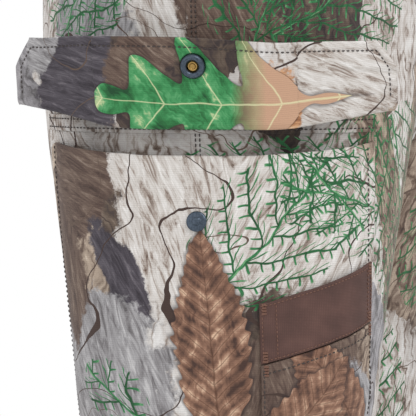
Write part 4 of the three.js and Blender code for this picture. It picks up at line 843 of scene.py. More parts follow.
# ---- Cargo pockets -------------------------------------------------------------------------
# A bellows pocket on each thigh: one camouflage panel, hemmed at its sagging mouth and sewn down
# round its other three sides, with room behind it that stands off the leg.
def lie_on(tube, names, columns, rows, trim=0.6 * mm):
    """Girth, height and outer height off a tube of a CAD piece that lies on it, as grids."""
    names = [names] if isinstance(names, str) else names
    sheets = [nodes[name].data for name in names]
    trees = [
        BVHTree.FromPolygons([v.co for v in s.vertices], [p.vertices for p in s.polygons]) for s in sheets
    ]
    points = np.array([v.co for s in sheets for v in s.vertices])
    girths = tube.girth_of(points)
    across = np.linspace(girths.min() + trim, girths.max() - trim, columns)
    scan = np.arange(points[:, 2].min() - 1 * mm, points[:, 2].max() + 1 * mm, 1.0 * mm)
    grid_s, grid_z = np.meshgrid(across, scan)
    turn = tube.turn_at(grid_s, grid_z)
    base, out = tube.bare(turn, grid_z), tube.normal(turn, grid_z)
    off = np.full(grid_s.shape, np.nan)
    for i in range(grid_s.shape[0]):
        for j in range(columns):
            start = Vector(base[i, j] + out[i, j] * 0.07)
            hits = [tree.ray_cast(start, Vector(-out[i, j]), 0.09)[3] for tree in trees]
            hits = [hit for hit in hits if hit is not None]
            if hits:
                off[i, j] = 0.07 - min(hits)
    met = np.flatnonzero((~np.isnan(off)).sum(0) > 1)
    for j in set(range(columns)) - set(met.tolist()):
        off[:, j] = off[:, met[np.argmin(np.abs(met - j))]]
    low, high = np.zeros(columns), np.zeros(columns)
    for j in range(columns):
        known = np.flatnonzero(~np.isnan(off[:, j]))
        low[j], high[j] = scan[known[0]], scan[known[-1]]
        off[:, j] = np.interp(scan, scan[known], off[known, j])
    for _ in range(6):
        low[1:-1] = (low[:-2] + 2 * low[1:-1] + low[2:]) / 4
        high[1:-1] = (high[:-2] + 2 * high[1:-1] + high[2:]) / 4
    for _ in range(8):
        off[:, 1:-1] = (off[:, :-2] + 2 * off[:, 1:-1] + off[:, 2:]) / 4
        off[1:-1] = (off[:-2] + 2 * off[1:-1] + off[2:]) / 4
    share = np.linspace(0, 1, rows)[:, None]
    heights = low[None, :] + share * (high - low)[None, :]
    row = (heights - scan[0]) / (scan[1] - scan[0])
    row = np.clip(row, 0, len(scan) - 1.001)
    r = row.astype(int)
    column = np.arange(columns)[None, :]
    height_off = off[r, column] * (1 - (row - r)) + off[r + 1, column] * (row - r)
    return np.broadcast_to(across[None, :], heights.shape).copy(), heights, height_off


def hemmed(girths, heights, offs, wall, mouth=False):
    """Adds the turned-in edges round a grid on a tube, down to the cloth under it."""
    g = np.pad(girths, ((2, 2), (2, 2)), mode="edge")
    h = np.pad(heights, ((2, 2), (2, 2)), mode="edge")
    o = np.pad(offs, ((2, 2), (2, 2)), mode="edge")
    bulge = 0.35 * mm
    for step, drop in ((1, 0.45), (0, 1.0)):
        spread = bulge * (1 if step else 0.6)
        g[:, step] = g[:, 2] - spread
        g[:, -1 - step] = g[:, -3] + spread
        h[step, :] = h[2, :] - spread
        o[:, step] = o[:, 2] - wall * drop
        o[:, -1 - step] = o[:, -3] - wall * drop
        o[step, :] = o[2, :] - wall * drop
        h[-1 - step, :] = h[-3, :] + spread
        o[-1 - step, :] = o[-3, :] - wall * drop
    if mouth:
        inside_g = np.repeat(g[-1:], 6, axis=0)
        inside_h = h[-1:] - np.linspace(1, 30, 6)[:, None] * mm
        inside_o = np.repeat(o[-1:], 6, axis=0) - np.linspace(0, 1, 6)[:, None] * 1.0 * mm
        g, h, o = np.vstack([g, inside_g]), np.vstack([h, inside_h]), np.vstack([o, inside_o])
    return g, h, o


def on_tube(name, tube, girths, heights, offs, material):
    """A cloth piece over a grid of girth, height and height off a tube."""
    points = tube.at(girths, heights, offs)
    places = np.stack([girths, heights], axis=-1)
    middle = tube.turn_at(girths[len(girths) // 2, girths.shape[1] // 2], heights[len(girths) // 2, 0])
    out = tube.normal(np.asarray(middle), np.asarray(heights[len(girths) // 2, 0]))
    made = grid_piece(name, points, places, material, flip=not facing_out(points, out))
    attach(made, "waders")
    return made


pockets = {}
for name, side in SIDES.items():
    leg = legs[name]
    girths, heights, offs = lie_on(leg, f"{name}_cargo_pocket", 90, 90)
    puff = creases(girths, heights, 3, slope=0.9, lengths=(0.05, 0.12))
    inner = eased(np.minimum(girths - girths.min(), girths.max() - girths), 0.006, 0.03)
    inner = inner * eased(heights - heights.min(0), 0.008, 0.035)
    offs = offs + puff * 0.8 * mm * inner
    near_edge = np.minimum(girths - girths.min(), girths.max() - girths)
    STITCH_IN = 4 * mm  # rows of stitches draw the cloth in, this far from the edge
    for inset in (near_edge, heights - heights[:1]):
        offs = offs - 0.5 * mm * np.exp(-(((inset - STITCH_IN) / (1.1 * mm)) ** 2))
    pockets[name] = (girths, heights, offs)
    g, h, o = hemmed(girths, heights, offs, 2.2 * mm, mouth=True)
    pocket = on_tube(f"{name}_cargo_pocket_cloth", leg, g, h, o, CAMO_POCKET)
    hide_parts(f"{name}_cargo_pocket")
    rows_of = []
    for k in (3, -4):
        rows_of.append(seam_line(leg, girths[:, k], heights[:, k], offs[:, k] + 0.05 * mm))
    rows_of.append(seam_line(leg, girths[2], heights[2], offs[2] + 0.05 * mm))
    rows_of.append(seam_line(leg, girths[5], heights[5], offs[5] + 0.05 * mm))
    made = stitches(f"{name}_cargo_pocket_stitches", rows_of, DARK_THREAD)
    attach(made, "waders")

# ---- Tool pocket ---------------------------------------------------------------------------
# On the wearer's right pocket only: a brown clip-proof panel, double stitched at the rear and bar
# tacked at its corners, above a camouflage pouch whose folded top edge follows the same slant.
def brown_polyester():
    """Plain-woven brown polyester, with its threads drawn at 0.9 mm so that they show."""
    made, tree, shader = surface("brown_polyester", {"Roughness": 0.72, "Specular IOR Level": 0.3})
    uv = node(tree, "UVMap", uv_map="cloth")
    across = node(tree, "TexWave", {0: uv, "Scale": 350, "Distortion": 0.2}, bands_direction="X")
    along = node(tree, "TexWave", {0: uv, "Scale": 350, "Distortion": 0.2}, bands_direction="Y")
    weave = node(tree, "Math", {0: across.outputs[1], 1: along.outputs[1]}, operation="MULTIPLY")
    cloud = node(tree, "TexNoise", {0: uv, "Scale": 60, "Detail": 3})
    mixed = node(tree, "Math", {0: weave, 1: 0.3, 2: cloud.outputs[0]}, operation="MULTIPLY_ADD")
    colour = node(tree, "ValToRGB", {0: mixed}, stops=[(0.2, "#3F2D29"), (0.6, "#523A35"), (1, "#664A43")])
    tree.links.new(colour.outputs[0], shader.inputs["Base Color"])
    bump = node(tree, "Bump", {"Height": weave, "Strength": 0.5, "Distance": 0.2 * mm})
    tree.links.new(bump.outputs[0], shader.inputs["Normal"])
    return made


BROWN_POLYESTER = brown_polyester()


def sewn_patch(
    name, tube, cad, material, columns, rows, wall, relief=None
):
    """A patch that lies on a tube where its CAD node does, with turned edges; gives its grids too."""
    girths, heights, offs = lie_on(tube, cad, columns, rows)
    if relief is not None:
        offs = offs + relief(girths, heights)
    made = on_tube(name, tube, *hemmed(girths, heights, offs, wall), material)
    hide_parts(cad)
    return girths, heights, offs


thigh = legs["right"]
clip = sewn_patch(
    "clip_panel_cloth", thigh, "clip_panel", BROWN_POLYESTER, 60, 34, 1.6 * mm
)
tool = sewn_patch(
    "tool_pocket_cloth", thigh, "tool_pocket", CAMO_TOOL, 60, 60, 1.6 * mm,
    relief=lambda s, z: 0.8 * mm * creases(s, z, 21, slope=1.2, lengths=(0.03, 0.08)),
)


def column_line(grids, inset, first=0, last=None, lift=0.1 * mm):
    """A line up a patch, inset from one of its sides: a plus inset from the rear, minus from the front."""
    girths, heights, offs = grids
    k = int(np.argmin(np.abs(girths[0] - (girths[0, 0] + inset if inset > 0 else girths[0, -1] + inset))))
    return seam_line(thigh, girths[first:last, k], heights[first:last, k], offs[first:last, k] + lift)


def row_line(grids, inset, lift=0.1 * mm, tube=None):
    """A line across a patch, inset from its lower edge if positive, or from its upper edge."""
    girths, heights, offs = grids
    line = (heights[0] if inset > 0 else heights[-1]) + inset
    share = (line - heights[0]) / (heights[-1] - heights[0]) * (len(heights) - 1)
    low = np.clip(share.astype(int), 0, len(heights) - 2)
    column = np.arange(girths.shape[1])
    off = offs[low, column] * (1 - (share - low)) + offs[low + 1, column] * (share - low)
    return seam_line(tube or thigh, girths[0], line, off + lift)


panel_rows = [column_line(clip, 1.6 * mm), column_line(clip, 8.5 * mm), column_line(clip, -1.6 * mm)]
panel_rows += [column_line(clip, -4.6 * mm), row_line(clip, -1.4 * mm), row_line(clip, 1.2 * mm)]
made = stitches("clip_panel_stitches", panel_rows, BROWN_THREAD, pitch=2.5 * mm, radius=0.36 * mm)
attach(made, "waders")
pouch_rows = [
    column_line(tool, 1.6 * mm), column_line(tool, -1.6 * mm), row_line(tool, -5 * mm), row_line(tool, 2 * mm)
]
made = stitches("tool_pocket_stitches", pouch_rows, DARK_THREAD)
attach(made, "waders")
bars = []
for grids, level in ((clip, 0), (clip, -1), (tool, -1)):
    for inset in (1.2 * mm, -1.2 * mm):
        girths, heights, offs = grids
        k = 2 if inset > 0 else -3
        for step in np.linspace(-0.9, 0.9, 5) * mm:
            span = np.linspace(0, 7 * mm, 8) * (1 if level == 0 else -1)
            bars.append(seam_line(
                thigh, girths[level, k] + step + 0 * span, heights[level, k] + span,
                offs[level, k] + 0.15 * mm
            ))
made = stitches("tool_pocket_bar_tacks", bars, BROWN_THREAD, pitch=1.7 * mm, radius=0.4 * mm, gap=0.1 * mm)
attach(made, "waders")

# ---- Pocket flaps and their snaps ----------------------------------------------------------
# Each flap is two layers sewn round the edge, stiff in the middle and soft at its two ends, which
# bend round the thigh. The right one stands open with its inner face out, its root rolled over.
joints = {joint["name"]: joint for joint in frame["joints"]}
TURN_OF = {"right": math.radians(165), "left": math.radians(10)}  # from hanging straight down
CURL_OF = {"right": math.radians(30), "left": math.radians(-30)}
FLAP_MIDDLE = 50 * mm
FLAP_HALF = 123 * mm


def flap_frame(name):
    """Hinge point and directions: forward along the hinge, down the flap, out of its outer face."""
    side, turn = SIDES[name], TURN_OF[name]
    origin = np.array(joints[f"{name}_flap_hinge"]["pos_m"])
    down = np.array([side * math.sin(turn), 0, -math.cos(turn)])
    face = np.array([side * math.cos(turn), 0, math.sin(turn)])
    return origin, np.array([0, -1.0, 0]), down, face


def flap_edge(forward):
    """Length of the flap's cloth from the hinge to its free edge, at a place along it."""
    places = [-125, -113, -96, -76, -50, -20, 0, 30, 60, 90, 108, 125]
    lengths = [52, 53, 55, 59.5, 62.8, 62.5, 62, 60, 58, 54.5, 52, 51]
    fine = np.linspace(-0.125, 0.125, 201)
    curve = np.convolve(np.pad(
        np.interp(fine, np.array(places) * mm, np.array(lengths) * mm), 8, "edge"
    ), np.ones(17) / 17, "valid")
    return np.interp(forward, fine, curve)


def flap_half(drop):
    """Half the flap's width at a distance from the hinge: its corners are cut away."""
    shoulder = 4 * mm * (1 - eased(drop, 4 * mm, 14 * mm))
    return FLAP_HALF - shoulder - 12 * mm * np.clip((drop - 34 * mm) / (18 * mm), 0, 1) ** 1.2


def flap_relief(forward, drop):
    """Puff, waves and creases of the flap's inner face, in metres."""
    side_in = flap_half(drop) - np.abs(forward)
    top_in = flap_edge(forward) - drop
    inset = np.minimum(side_in, top_in)
    puff = 0.5 * mm * eased(inset, 0, 12 * mm) - 0.55 * mm * np.exp(-(((inset - 5 * mm) / (1.2 * mm)) ** 2))
    wave = creases(forward, drop, 42, slope=1.4, lengths=(0.05, 0.12)) * 0.55 * mm * eased(inset, 0, 15 * mm)
    crease = drop - (38 * mm - 0.18 * (forward - 85 * mm))
    fold = np.exp(-((crease / (2.2 * mm)) ** 2)) * eased(forward, 80 * mm, 100 * mm)
    roll = 0.5 * mm * np.exp(-(((drop - 9 * mm) / (6 * mm)) ** 2))
    snap = np.hypot(forward, drop - 46 * mm)
    dimple = -0.9 * mm * np.exp(-((snap / (11 * mm)) ** 2))
    return puff + wave - 1.3 * mm * fold + roll + dimple


def flap_points(name, forward, drop, lift):
    """Points of a flap, with lift measured out of its inner face and its ends bent to the thigh."""
    origin, ahead, down, face = flap_frame(name)
    curl = CURL_OF[name]
    past = np.abs(forward) - FLAP_MIDDLE
    bend = 10 * mm  # the fold is soft, over this length each way
    share = np.clip((past + bend) / (2 * bend), 0, 1)
    angle = curl * share
    run = np.where(past > bend, past * math.cos(curl), past)
    soft = (past + bend) ** 2 / (4 * bend)
    out = np.where(past > bend, past * math.sin(curl), np.where(past > -bend, soft * math.sin(curl), 0))
    along = np.sign(forward) * (FLAP_MIDDLE + run)
    n = -lift
    along = along - np.sign(forward) * n * np.sin(angle)
    return (
        origin + ahead * along[..., None] + down * drop[..., None]
        + face * (out + n * np.cos(angle))[..., None]
    )


ROOT = 10 * mm
ROLL_R = 3.0 * mm
EDGE_ROW = 5 * mm  # the row of stitches runs this far in from the flap's free edges


def flap_section(forward, share_round):
    """Drop and lift round a flap's closed section: inner face, rolled root, outer face, free edge."""
    top = flap_edge(forward)
    rise = 4 * mm * eased(-forward, 20 * mm, 110 * mm) + 1.5 * mm * eased(forward, 60 * mm, 115 * mm)
    root = ROOT + rise
    wall = 1.2 * mm
    inner = share_round < 0.45
    rolled = (share_round >= 0.45) & (share_round < 0.62)
    outer = (share_round >= 0.62) & (share_round < 0.97)
    a = share_round / 0.45
    b = (share_round - 0.45) / 0.17 * math.pi
    c = (share_round - 0.62) / 0.35
    d = (share_round - 0.97) / 0.03 * math.pi
    drop = np.where(inner, top + (root - top) * a, 0.0)
    lift = np.where(inner, wall, 0.0)
    drop = np.where(rolled, root - ROLL_R * np.sin(b), drop)
    lift = np.where(rolled, wall - ROLL_R * (1 - np.cos(b)), lift)
    drop = np.where(outer, root + (top - root) * c, drop)
    flat_back = wall - 2 * ROLL_R + (2 * ROLL_R - 2 * wall) * eased(c, 0, 0.25)
    lift = np.where(outer, flat_back, lift)
    drop = np.where(share_round >= 0.97, top + 0.5 * mm * np.sin(d), drop)
    lift = np.where(share_round >= 0.97, -wall * np.cos(d), lift)
    inset = np.minimum(flap_half(drop) - np.abs(forward), top - drop + 0.5 * mm)
    relief = flap_relief(forward, drop)
    lift = lift + np.where(inner | rolled, relief * (1 - 0.5 * rolled), 0.35 * np.minimum(relief, 0.5 * mm))
    return drop, lift


for name, side in SIDES.items():
    for end, sign in (("rear", -1), ("front", 1)):
        columns, rounds = 62 * FINE, 70 * FINE
        share = np.linspace(0, 1, columns)[None, :] * np.ones((rounds, 1))
        round_share = (np.arange(rounds) / rounds)[:, None] * np.ones((1, columns))
        forward = sign * share * FLAP_HALF
        drop, lift = flap_section(forward, round_share)
        limit = flap_half(drop)
        forward = sign * share * limit
        drop, lift = flap_section(forward, round_share)
        thin = np.sqrt(np.clip(1 - np.clip((share - 0.985) / 0.015, 0, 1) ** 2, 0.003, 1))
        lift = lift * thin
        points = flap_points(name, forward, drop, lift)
        places = np.stack([forward, 0.708 + drop], axis=-1)
        origin, ahead, _, face = flap_frame(name)
        made = grid_piece(f"{name}_flap_{end}_half", points, places, CAMO_FLAP, wrap=True)
        mesh = made.data
        if (mesh.polygons[len(mesh.polygons) // 6].normal @ Vector(-face)) < 0:
            mesh.flip_normals()
        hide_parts(*([f"{name}_flap_{end}"] + ([f"{name}_flap_middle"] if sign > 0 else [])))
        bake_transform(made)
        run = np.linspace(0.0, 1.0, 220) * (FLAP_HALF - EDGE_ROW)
        drop_line = flap_edge(sign * run) - EDGE_ROW
        ok = run < flap_half(drop_line) - EDGE_ROW
        down_side = np.linspace(drop_line[ok][-1], 16 * mm, 60)
        along = np.concatenate([run[ok], flap_half(down_side) - EDGE_ROW]) * sign
        dropped = np.concatenate([drop_line[ok], down_side])
        relief = flap_relief(along, dropped)
        rows_of = []
        for facing, lift_out in ((1, 1.2 * mm), (-1, -1.2 * mm)):
            raised = lift_out + (
                relief if facing > 0 else 0.35 * np.minimum(relief, 0.5 * mm)
            ) + facing * 0.1 * mm
            line = flap_points(name, along, dropped, raised)
            above = flap_points(name, along, dropped, raised + facing * 1 * mm)
            rows_of.append((line, (above - line) / mm))
        made = stitches(f"{name}_flap_{end}_stitches", rows_of, DARK_THREAD)
        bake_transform(made)
    band = sewn_patch(
        f"{name}_flap_band_cloth", legs[name], f"{name}_flap_band", CAMO_LEG, 120, 8, 1.2 * mm,
    )
    made = stitches(
        f"{name}_flap_band_stitches",
        [row_line(band, 2 * mm, tube=legs[name]), row_line(band, -2 * mm, tube=legs[name])],
        DARK_THREAD,
    )
    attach(made, "waders")


def metal(name, base, rough, streaks):
    """Plated metal with fine wear in its polish."""
    made, tree, shader = surface(name, {"Metallic": 1.0, "Roughness": rough})
    where = node(tree, "TexCoord")
    wear = node(tree, "TexNoise", {0: where.outputs["Object"], "Scale": 900, "Detail": 4})
    colour = node(tree, "ValToRGB", {0: wear.outputs[0]}, stops=[(0.3, base), (0.7, streaks)])
    tree.links.new(colour.outputs[0], shader.inputs["Base Color"])
    return made


GUNMETAL = metal("gunmetal_plate", "#3B434D", 0.3, "#525C68")
BRASS = metal("brass_rivet", "#A88A55", 0.3, "#8A6E3E")


def turned_piece(name, profile, centre, axis, material, body, facets=64):
    """A turned piece from (radius, height) points in mm, its height along the axis from the centre."""
    axis = np.asarray(axis, float) / np.linalg.norm(axis)
    side_way = np.cross(axis, [0, 1, 0])
    side_way /= np.linalg.norm(side_way)
    other = np.cross(axis, side_way)
    angles = np.arange(facets) * 2 * math.pi / facets
    rings = [
        centre + mm * (
            height * axis + radius * (np.cos(angles)[:, None] * side_way + np.sin(angles)[:, None] * other)
        )
        for radius, height in profile
    ]
    points = np.array(rings)
    index = np.arange(len(profile) * facets).reshape(len(profile), facets)
    index = np.hstack([index, index[:, :1]])
    faces = np.stack(
        [index[:-1, :-1], index[:-1, 1:], index[1:, 1:], index[1:, :-1]], axis=-1
    ).reshape(-1, 4).tolist()
    mesh = bpy.data.meshes.new(name)
    mesh.from_pydata(points.reshape(-1, 3).tolist(), [], faces)
    mesh.polygons.foreach_set("use_smooth", [True] * len(mesh.polygons))
    mesh.materials.append(material)
    made = bpy.data.objects.new(name, mesh)
    bpy.context.scene.collection.objects.link(made)
    smooth = made.modifiers.new("rounded", "SUBSURF")
    smooth.levels = smooth.render_levels = 1
    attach(made, body)
    return made


for name, side in SIDES.items():
    origin, ahead, down, face = flap_frame(name)
    low, high = (np.array(corner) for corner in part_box(f"{name}_snap_socket"))
    ring_at = (low + high) / 2
    inner = -face
    made = turned_piece(f"{name}_snap_ring", [
        (3.3, -1.7), (3.3, 0.2), (3.7, 0.7), (4.3, 1.35), (5.0, 1.65), (5.9, 1.6), (6.8, 1.15), (7.4, 0.3),
        (7.8, -0.9), (7.8, -1.5), (7.5, -1.7), (3.3, -1.7),
    ], ring_at, inner, GUNMETAL, f"{name}_flap")
    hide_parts(f"{name}_snap_socket")
    turned_piece(f"{name}_snap_rivet", [
        (0.05, -1.5), (3.1, -1.5), (3.1, -0.6), (2.8, -0.2), (2.2, -0.15), (1.7, -0.5), (1.5, -1.0),
        (0.05, -1.1),
    ], ring_at, inner, BRASS, f"{name}_flap")
    cap_at = ring_at - inner * 5.0 * mm
    made = turned_piece(f"{name}_snap_cap_disc", [
        (0.05, 2.6), (2.0, 2.6), (2.0, 0.0), (7.3, 0.0), (7.5, -0.3), (7.2, -0.9), (6.2, -1.4), (4.6, -1.75),
        (2.4, -1.9),
        (0.05, -1.95),
    ], cap_at, inner, GUNMETAL, f"{name}_flap")
    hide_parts(f"{name}_snap_cap")
    low, high = (np.array(corner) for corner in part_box(f"{name}_snap_stud"))
    stud_at = (low + high) / 2
    shut = math.radians(10)
    made = turned_piece(f"{name}_snap_stud_post", [
        (0.05, -3.2), (2.1, -3.2), (2.1, 0.35), (5.7, 0.35), (6.1, 0.6), (6.0, 0.95), (5.2, 1.35), (3.9, 1.5),
        (2.9, 1.6),
        (2.15, 1.75), (2.05, 2.1), (2.45, 2.4), (2.5, 2.75), (2.2, 3.05), (1.4, 3.2), (0.05, 3.22),
    ], stud_at, (side * math.cos(shut), 0, math.sin(shut)), GUNMETAL, "waders")
    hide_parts(f"{name}_snap_stud")

# ---- Bib -----------------------------------------------------------------------------------
# The upper body is a front and a back panel joined at the sides, cut high in front and lower
# behind, with a bound top edge. Its hem laps the legs and is topstitched to them.
body = Tube(["bib_front", "bib_back"], 1, HIP + 1 * mm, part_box("bib_front")[1].z)
HIP_LAP = 7 * mm


def bib_top(turn):
    """Height of the bib's top edge round the body."""
    top = np.concatenate([body.top[-3:], body.top, body.top[:3]])
    top = np.convolve(np.pad(top, 4, "edge"), np.ones(9) / 9, "valid")
    return np.interp(turn, body.wide_turns, top)


def body_relief(girth, height):
    """Folds at the waist, above and below the belt, and broad waves over the chest and seat."""
    waist = np.exp(-(((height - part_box("wading_belt")[0].z - 0.025) / 0.07) ** 2))
    gathers = creases(height * 0.25, girth, 8, slope=0.3, lengths=(0.022, 0.05))
    broad = creases(girth, height, 9, slope=1.0, lengths=(0.08, 0.2))
    return (1.5 * gathers * waist + 1.4 * broad) * mm


LACED = 18 * mm  # depth of the bound edge
for part, first, last, seed in (("front", 0, math.pi, 0), ("back", -math.pi, 0, 0)):
    columns, rows = 130 * FINE, 120 * FINE
    turns = np.linspace(first, last, columns)[None, :] * np.ones((rows, 1))
    share = np.linspace(0, 1, rows)[:, None] * np.ones((1, columns))
    bottom = HIP - HIP_LAP
    heights = bottom + share * (bib_top(turns) - 1 * mm - bottom)
    held = np.maximum(heights, body.low)
    girths = body.table(body.length, turns, held)
    calm = 1 - (2 * (np.abs(turns[0]) / math.pi) - 1) ** 12
    relief = body_relief(girths, heights) * calm * eased(heights, HIP + 0.005, HIP + 0.05)
    relief = relief * eased(bib_top(turns) - heights, 0.01, 0.06)
    off = 0.7 * mm * (1 - eased(heights, HIP, HIP + 0.012)) + relief
    points = body.bare(turns, held) + body.normal(turns, held) * off[..., None]
    points[..., 2] += heights - held
    out = body.normal(turns[rows // 2], heights[rows // 2])[columns // 2]
    panel = grid_piece(
        f"bib_{part}_cloth", points, np.stack(
            [girths + 0.4, heights], axis=-1
        ), CAMO_BODY, flip=not facing_out(points, out)
    )
    lined(panel)
    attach(panel, "waders")
    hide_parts(*((f"bib_{part}", "crotch_gusset") if part == "front" else (f"bib_{part}",)))
    fold = np.array([[-LACED, 0.5], [-LACED, 1.1], [-LACED * 0.5, 1.3], [-2 * mm, 1.2],
        [0, 0.6], [1.4 * mm, -1.0], [0, -3.6],
                     [-LACED * 0.5, -4.2], [-LACED, -4.0], [-LACED, -3.2]])
    around = np.linspace(first, last, 150 * FINE)
    rim = bib_top(around)
    drop, lift = fold[:, :1] + 0 * around[None, :], fold[:, 1:] * mm + 0 * around[None, :]
    level = rim[None, :] + drop
    bound = np.minimum(level, body.high)
    wide = around[None, :] + 0 * drop
    points = body.bare(wide, bound) + body.normal(wide, bound) * lift[..., None]
    points[..., 2] += level - bound
    binding = grid_piece(
        f"bib_{part}_binding", points, np.stack([body.table(body.length, wide, bound), level], axis=-1),
        CAMO_BODY,
        flip=not facing_out(points[:4], body.normal(wide[0], bound[0])[len(around) // 2]),
    )
    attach(binding, "waders")
    lines = []
    for down in (LACED - 2.2 * mm, 2.5 * mm):
        line_turn = np.linspace(first, last, 400)
        level = np.minimum(bib_top(line_turn) - down, body.high)
        out = body.normal(line_turn, level)
        lines.append((body.bare(line_turn, level) + out * 1.35 * mm, out))
    for up in (2 * mm, 5 * mm):
        line_turn = np.linspace(first, last, 400)
        level = np.full(400, body.low)
        out = body.normal(line_turn, level)
        at = body.bare(line_turn, level) + out * 0.75 * mm
        at[:, 2] = HIP - HIP_LAP + up
        lines.append((at, out))
    made = stitches(f"bib_{part}_stitches", lines, DARK_THREAD, pitch=3.4 * mm)
    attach(made, "waders")
for k, turn in enumerate((0.0, math.pi - 1e-3)):
    level = np.linspace(HIP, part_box("bib_back")[1].z - 0.1, 200)
    lines = []
    for shift in (-0.012, 0.012):
        here = np.full(200, turn + shift)
        out = body.normal(here, level)
        keep = level < bib_top(here) - 0.02
        lines.append(((body.bare(here, level) + out * 0.1 * mm)[keep], out[keep]))
    made = stitches(f"side_seam_stitches_{k}", lines, DARK_THREAD)
    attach(made, "waders")

# ---- Knee patches --------------------------------------------------------------------------
# Tougher cloth over closed-cell foam, quilted in level channels so that the knee bends.
def quilted_polyester():
    made, tree, shader = surface("quilted_polyester", {"Roughness": 0.8, "Specular IOR Level": 0.25})
    uv = node(tree, "UVMap", uv_map="cloth")
    cloud = node(tree, "TexNoise", {0: uv, "Scale": 90, "Detail": 4})
    colour = node(tree, "ValToRGB", {0: cloud.outputs[0]}, stops=[(0.3, "#4B4038"), (0.7, "#63564B")])
    tree.links.new(colour.outputs[0], shader.inputs["Base Color"])
    weave = node(tree, "TexVoronoi", {"Vector": uv, "Scale": 900})
    bump = node(tree, "Bump", {"Height": weave, "Strength": 0.5, "Distance": 0.3 * mm})
    tree.links.new(bump.outputs[0], shader.inputs["Normal"])
    return made


KNEE_CLOTH = quilted_polyester()
CHANNEL = 16 * mm  # height of one quilted channel


def quilt(girths, heights):
    """Rise of the padding between the rows of quilting stitches."""
    up = (heights - heights[0]) / CHANNEL
    edge = np.minimum(girths - girths.min(), girths.max() - girths)
    pillow = 1.6 * mm * np.abs(np.sin(math.pi * up)) ** 0.6 * eased(edge, 3 * mm, 12 * mm)
    return pillow - 0.8 * mm


for name in SIDES:
    knee = sewn_patch(
        f"{name}_knee_pad", legs[name], f"{name}_knee_patch", KNEE_CLOTH, 70, 90, 3.0 * mm,
        relief=quilt,
    )
    lines = []
    for k in range(1, 7):
        line = knee[1][0] + k * CHANNEL
        if line.max() < knee[1][-1].min():
            row = np.argmin(np.abs(knee[1] - line[None, :]), axis=0)
            column = np.arange(knee[0].shape[1])
            lines.append(seam_line(legs[name], knee[0][0], line, knee[2][row, column] + 0.15 * mm))
    lines += [row_line(knee, 2.5 * mm, tube=legs[name]), row_line(knee, -2.5 * mm, tube=legs[name])]
    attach(stitches(f"{name}_knee_stitches", lines, BROWN_THREAD), "waders")

# ---- Wading belt ---------------------------------------------------------------------------
# Woven webbing round the waist through three sewn loops, closed in front by a side-release buckle.
def webbing(name, dark, pale):
    """Polypropylene webbing in a ribbed weave, its ribs drawn at 2 mm."""
    made, tree, shader = surface(name, {"Roughness": 0.62, "Specular IOR Level": 0.35})
    uv = node(tree, "UVMap", uv_map="cloth")
    skewed = node(tree, "VectorRotate", {"Vector": uv, "Angle": 0.6}, rotation_type="Z_AXIS")
    ribs = node(tree, "TexWave", {0: uv, "Scale": 157, "Distortion": 0.3, "Detail": 2}, bands_direction="X")
    twill = node(tree, "TexWave", {0: skewed, "Scale": 300, "Distortion": 0.2}, bands_direction="Y")
    both = node(tree, "Math", {0: ribs.outputs[1], 1: twill.outputs[1]}, operation="MULTIPLY")
    colour = node(tree, "ValToRGB", {0: both}, stops=[(0.0, dark), (1.0, pale)])
    tree.links.new(colour.outputs[0], shader.inputs["Base Color"])
    bump = node(tree, "Bump", {"Height": both, "Strength": 0.6, "Distance": 0.4 * mm})
    tree.links.new(bump.outputs[0], shader.inputs["Normal"])
    return made


WEBBING = webbing("brown_webbing", "#2E2723", "#57493F")
low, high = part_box("wading_belt")
BELT_OFF = 4.2 * mm
START, END = math.pi / 2 + 0.115, 2.5 * math.pi - 0.115
turns = np.linspace(START, END, 260 * FINE)


def round_body(turn):
    return (turn + math.pi) % (2 * math.pi) - math.pi


section = np.array([
    [0, -2.0], [0, 0], [0.04, 0.15], [0.2, 0.1], [0.5, 0.0], [0.8, 0.1], [0.96, 0.15], [1, 0], [1, -2.0],
    [0.5, -2.1]
])
level = low.z + section[:, :1] * (high.z - low.z) + 0 * turns[None, :]
around = round_body(turns)[None, :] + 0 * level
sway = 0.25 * mm * np.sin(8 * turns)[None, :]
points = body.bare(around, level) + body.normal(around, level) * (
    BELT_OFF + section[:, 1:] * mm + sway
)[..., None]
run = np.concatenate([[0], np.cumsum(np.linalg.norm(np.diff(points[4], axis=0), axis=1))])
belt = grid_piece(
    "wading_belt_webbing", points, np.stack([run[None, :] + 0 * level, level], axis=-1), WEBBING, wrap=True
)
if belt.data.polygons[turns.size * 3 + 20].normal @ Vector(body.normal(around[4], level[4])[20]) < 0:
    belt.data.flip_normals()
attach(belt, "waders")
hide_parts("wading_belt")
for place in ("right", "left", "back"):
    loop = sewn_patch(
        f"belt_loop_{place}_webbing", body, f"belt_loop_{place}", WEBBING, 18, 60, 1.4 * mm,
    )
    lines = [row_line(loop, shift * mm, tube=body) for shift in (3, 9, -3, -9)]
    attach(stitches(f"belt_loop_{place}_stitches", lines, BROWN_THREAD, pitch=2.2 * mm), "waders")

# ---- Shoulder straps -----------------------------------------------------------------------
# Two elastic webbing straps from the front buckles over the shoulders, crossing in to the yoke.
STRAP_WEB = webbing("strap_webbing", "#332B26", "#5E5045")


def ribbon_over(cad, middle_y, middle_z, first, last, steps):
    """Outer face of a ribbon that goes over the shoulder, read round a level line across the body."""
    mesh = nodes[cad].data
    tree = BVHTree.FromPolygons([v.co for v in mesh.vertices], [p.vertices for p in mesh.polygons])
    low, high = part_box(cad)
    scan = np.arange(low.x - 1 * mm, high.x + 1 * mm, 0.2 * mm)
    edges = []
    for angle in np.linspace(first, last, steps):
        way = Vector((0, -math.cos(angle), math.sin(angle)))
        found = []
        for x in scan:
            hit = tree.ray_cast(Vector((x, middle_y, middle_z)) + way * 0.5, -way, 0.6)[0]
            if hit is not None:
                found.append(np.array(hit))
        if len(found) > 8:
            edges.append((found[0], found[-1]))
    edges = np.array(edges)
    for _ in range(4):
        edges[1:-1] = (edges[:-2] + 2 * edges[1:-1] + edges[2:]) / 4
    return edges


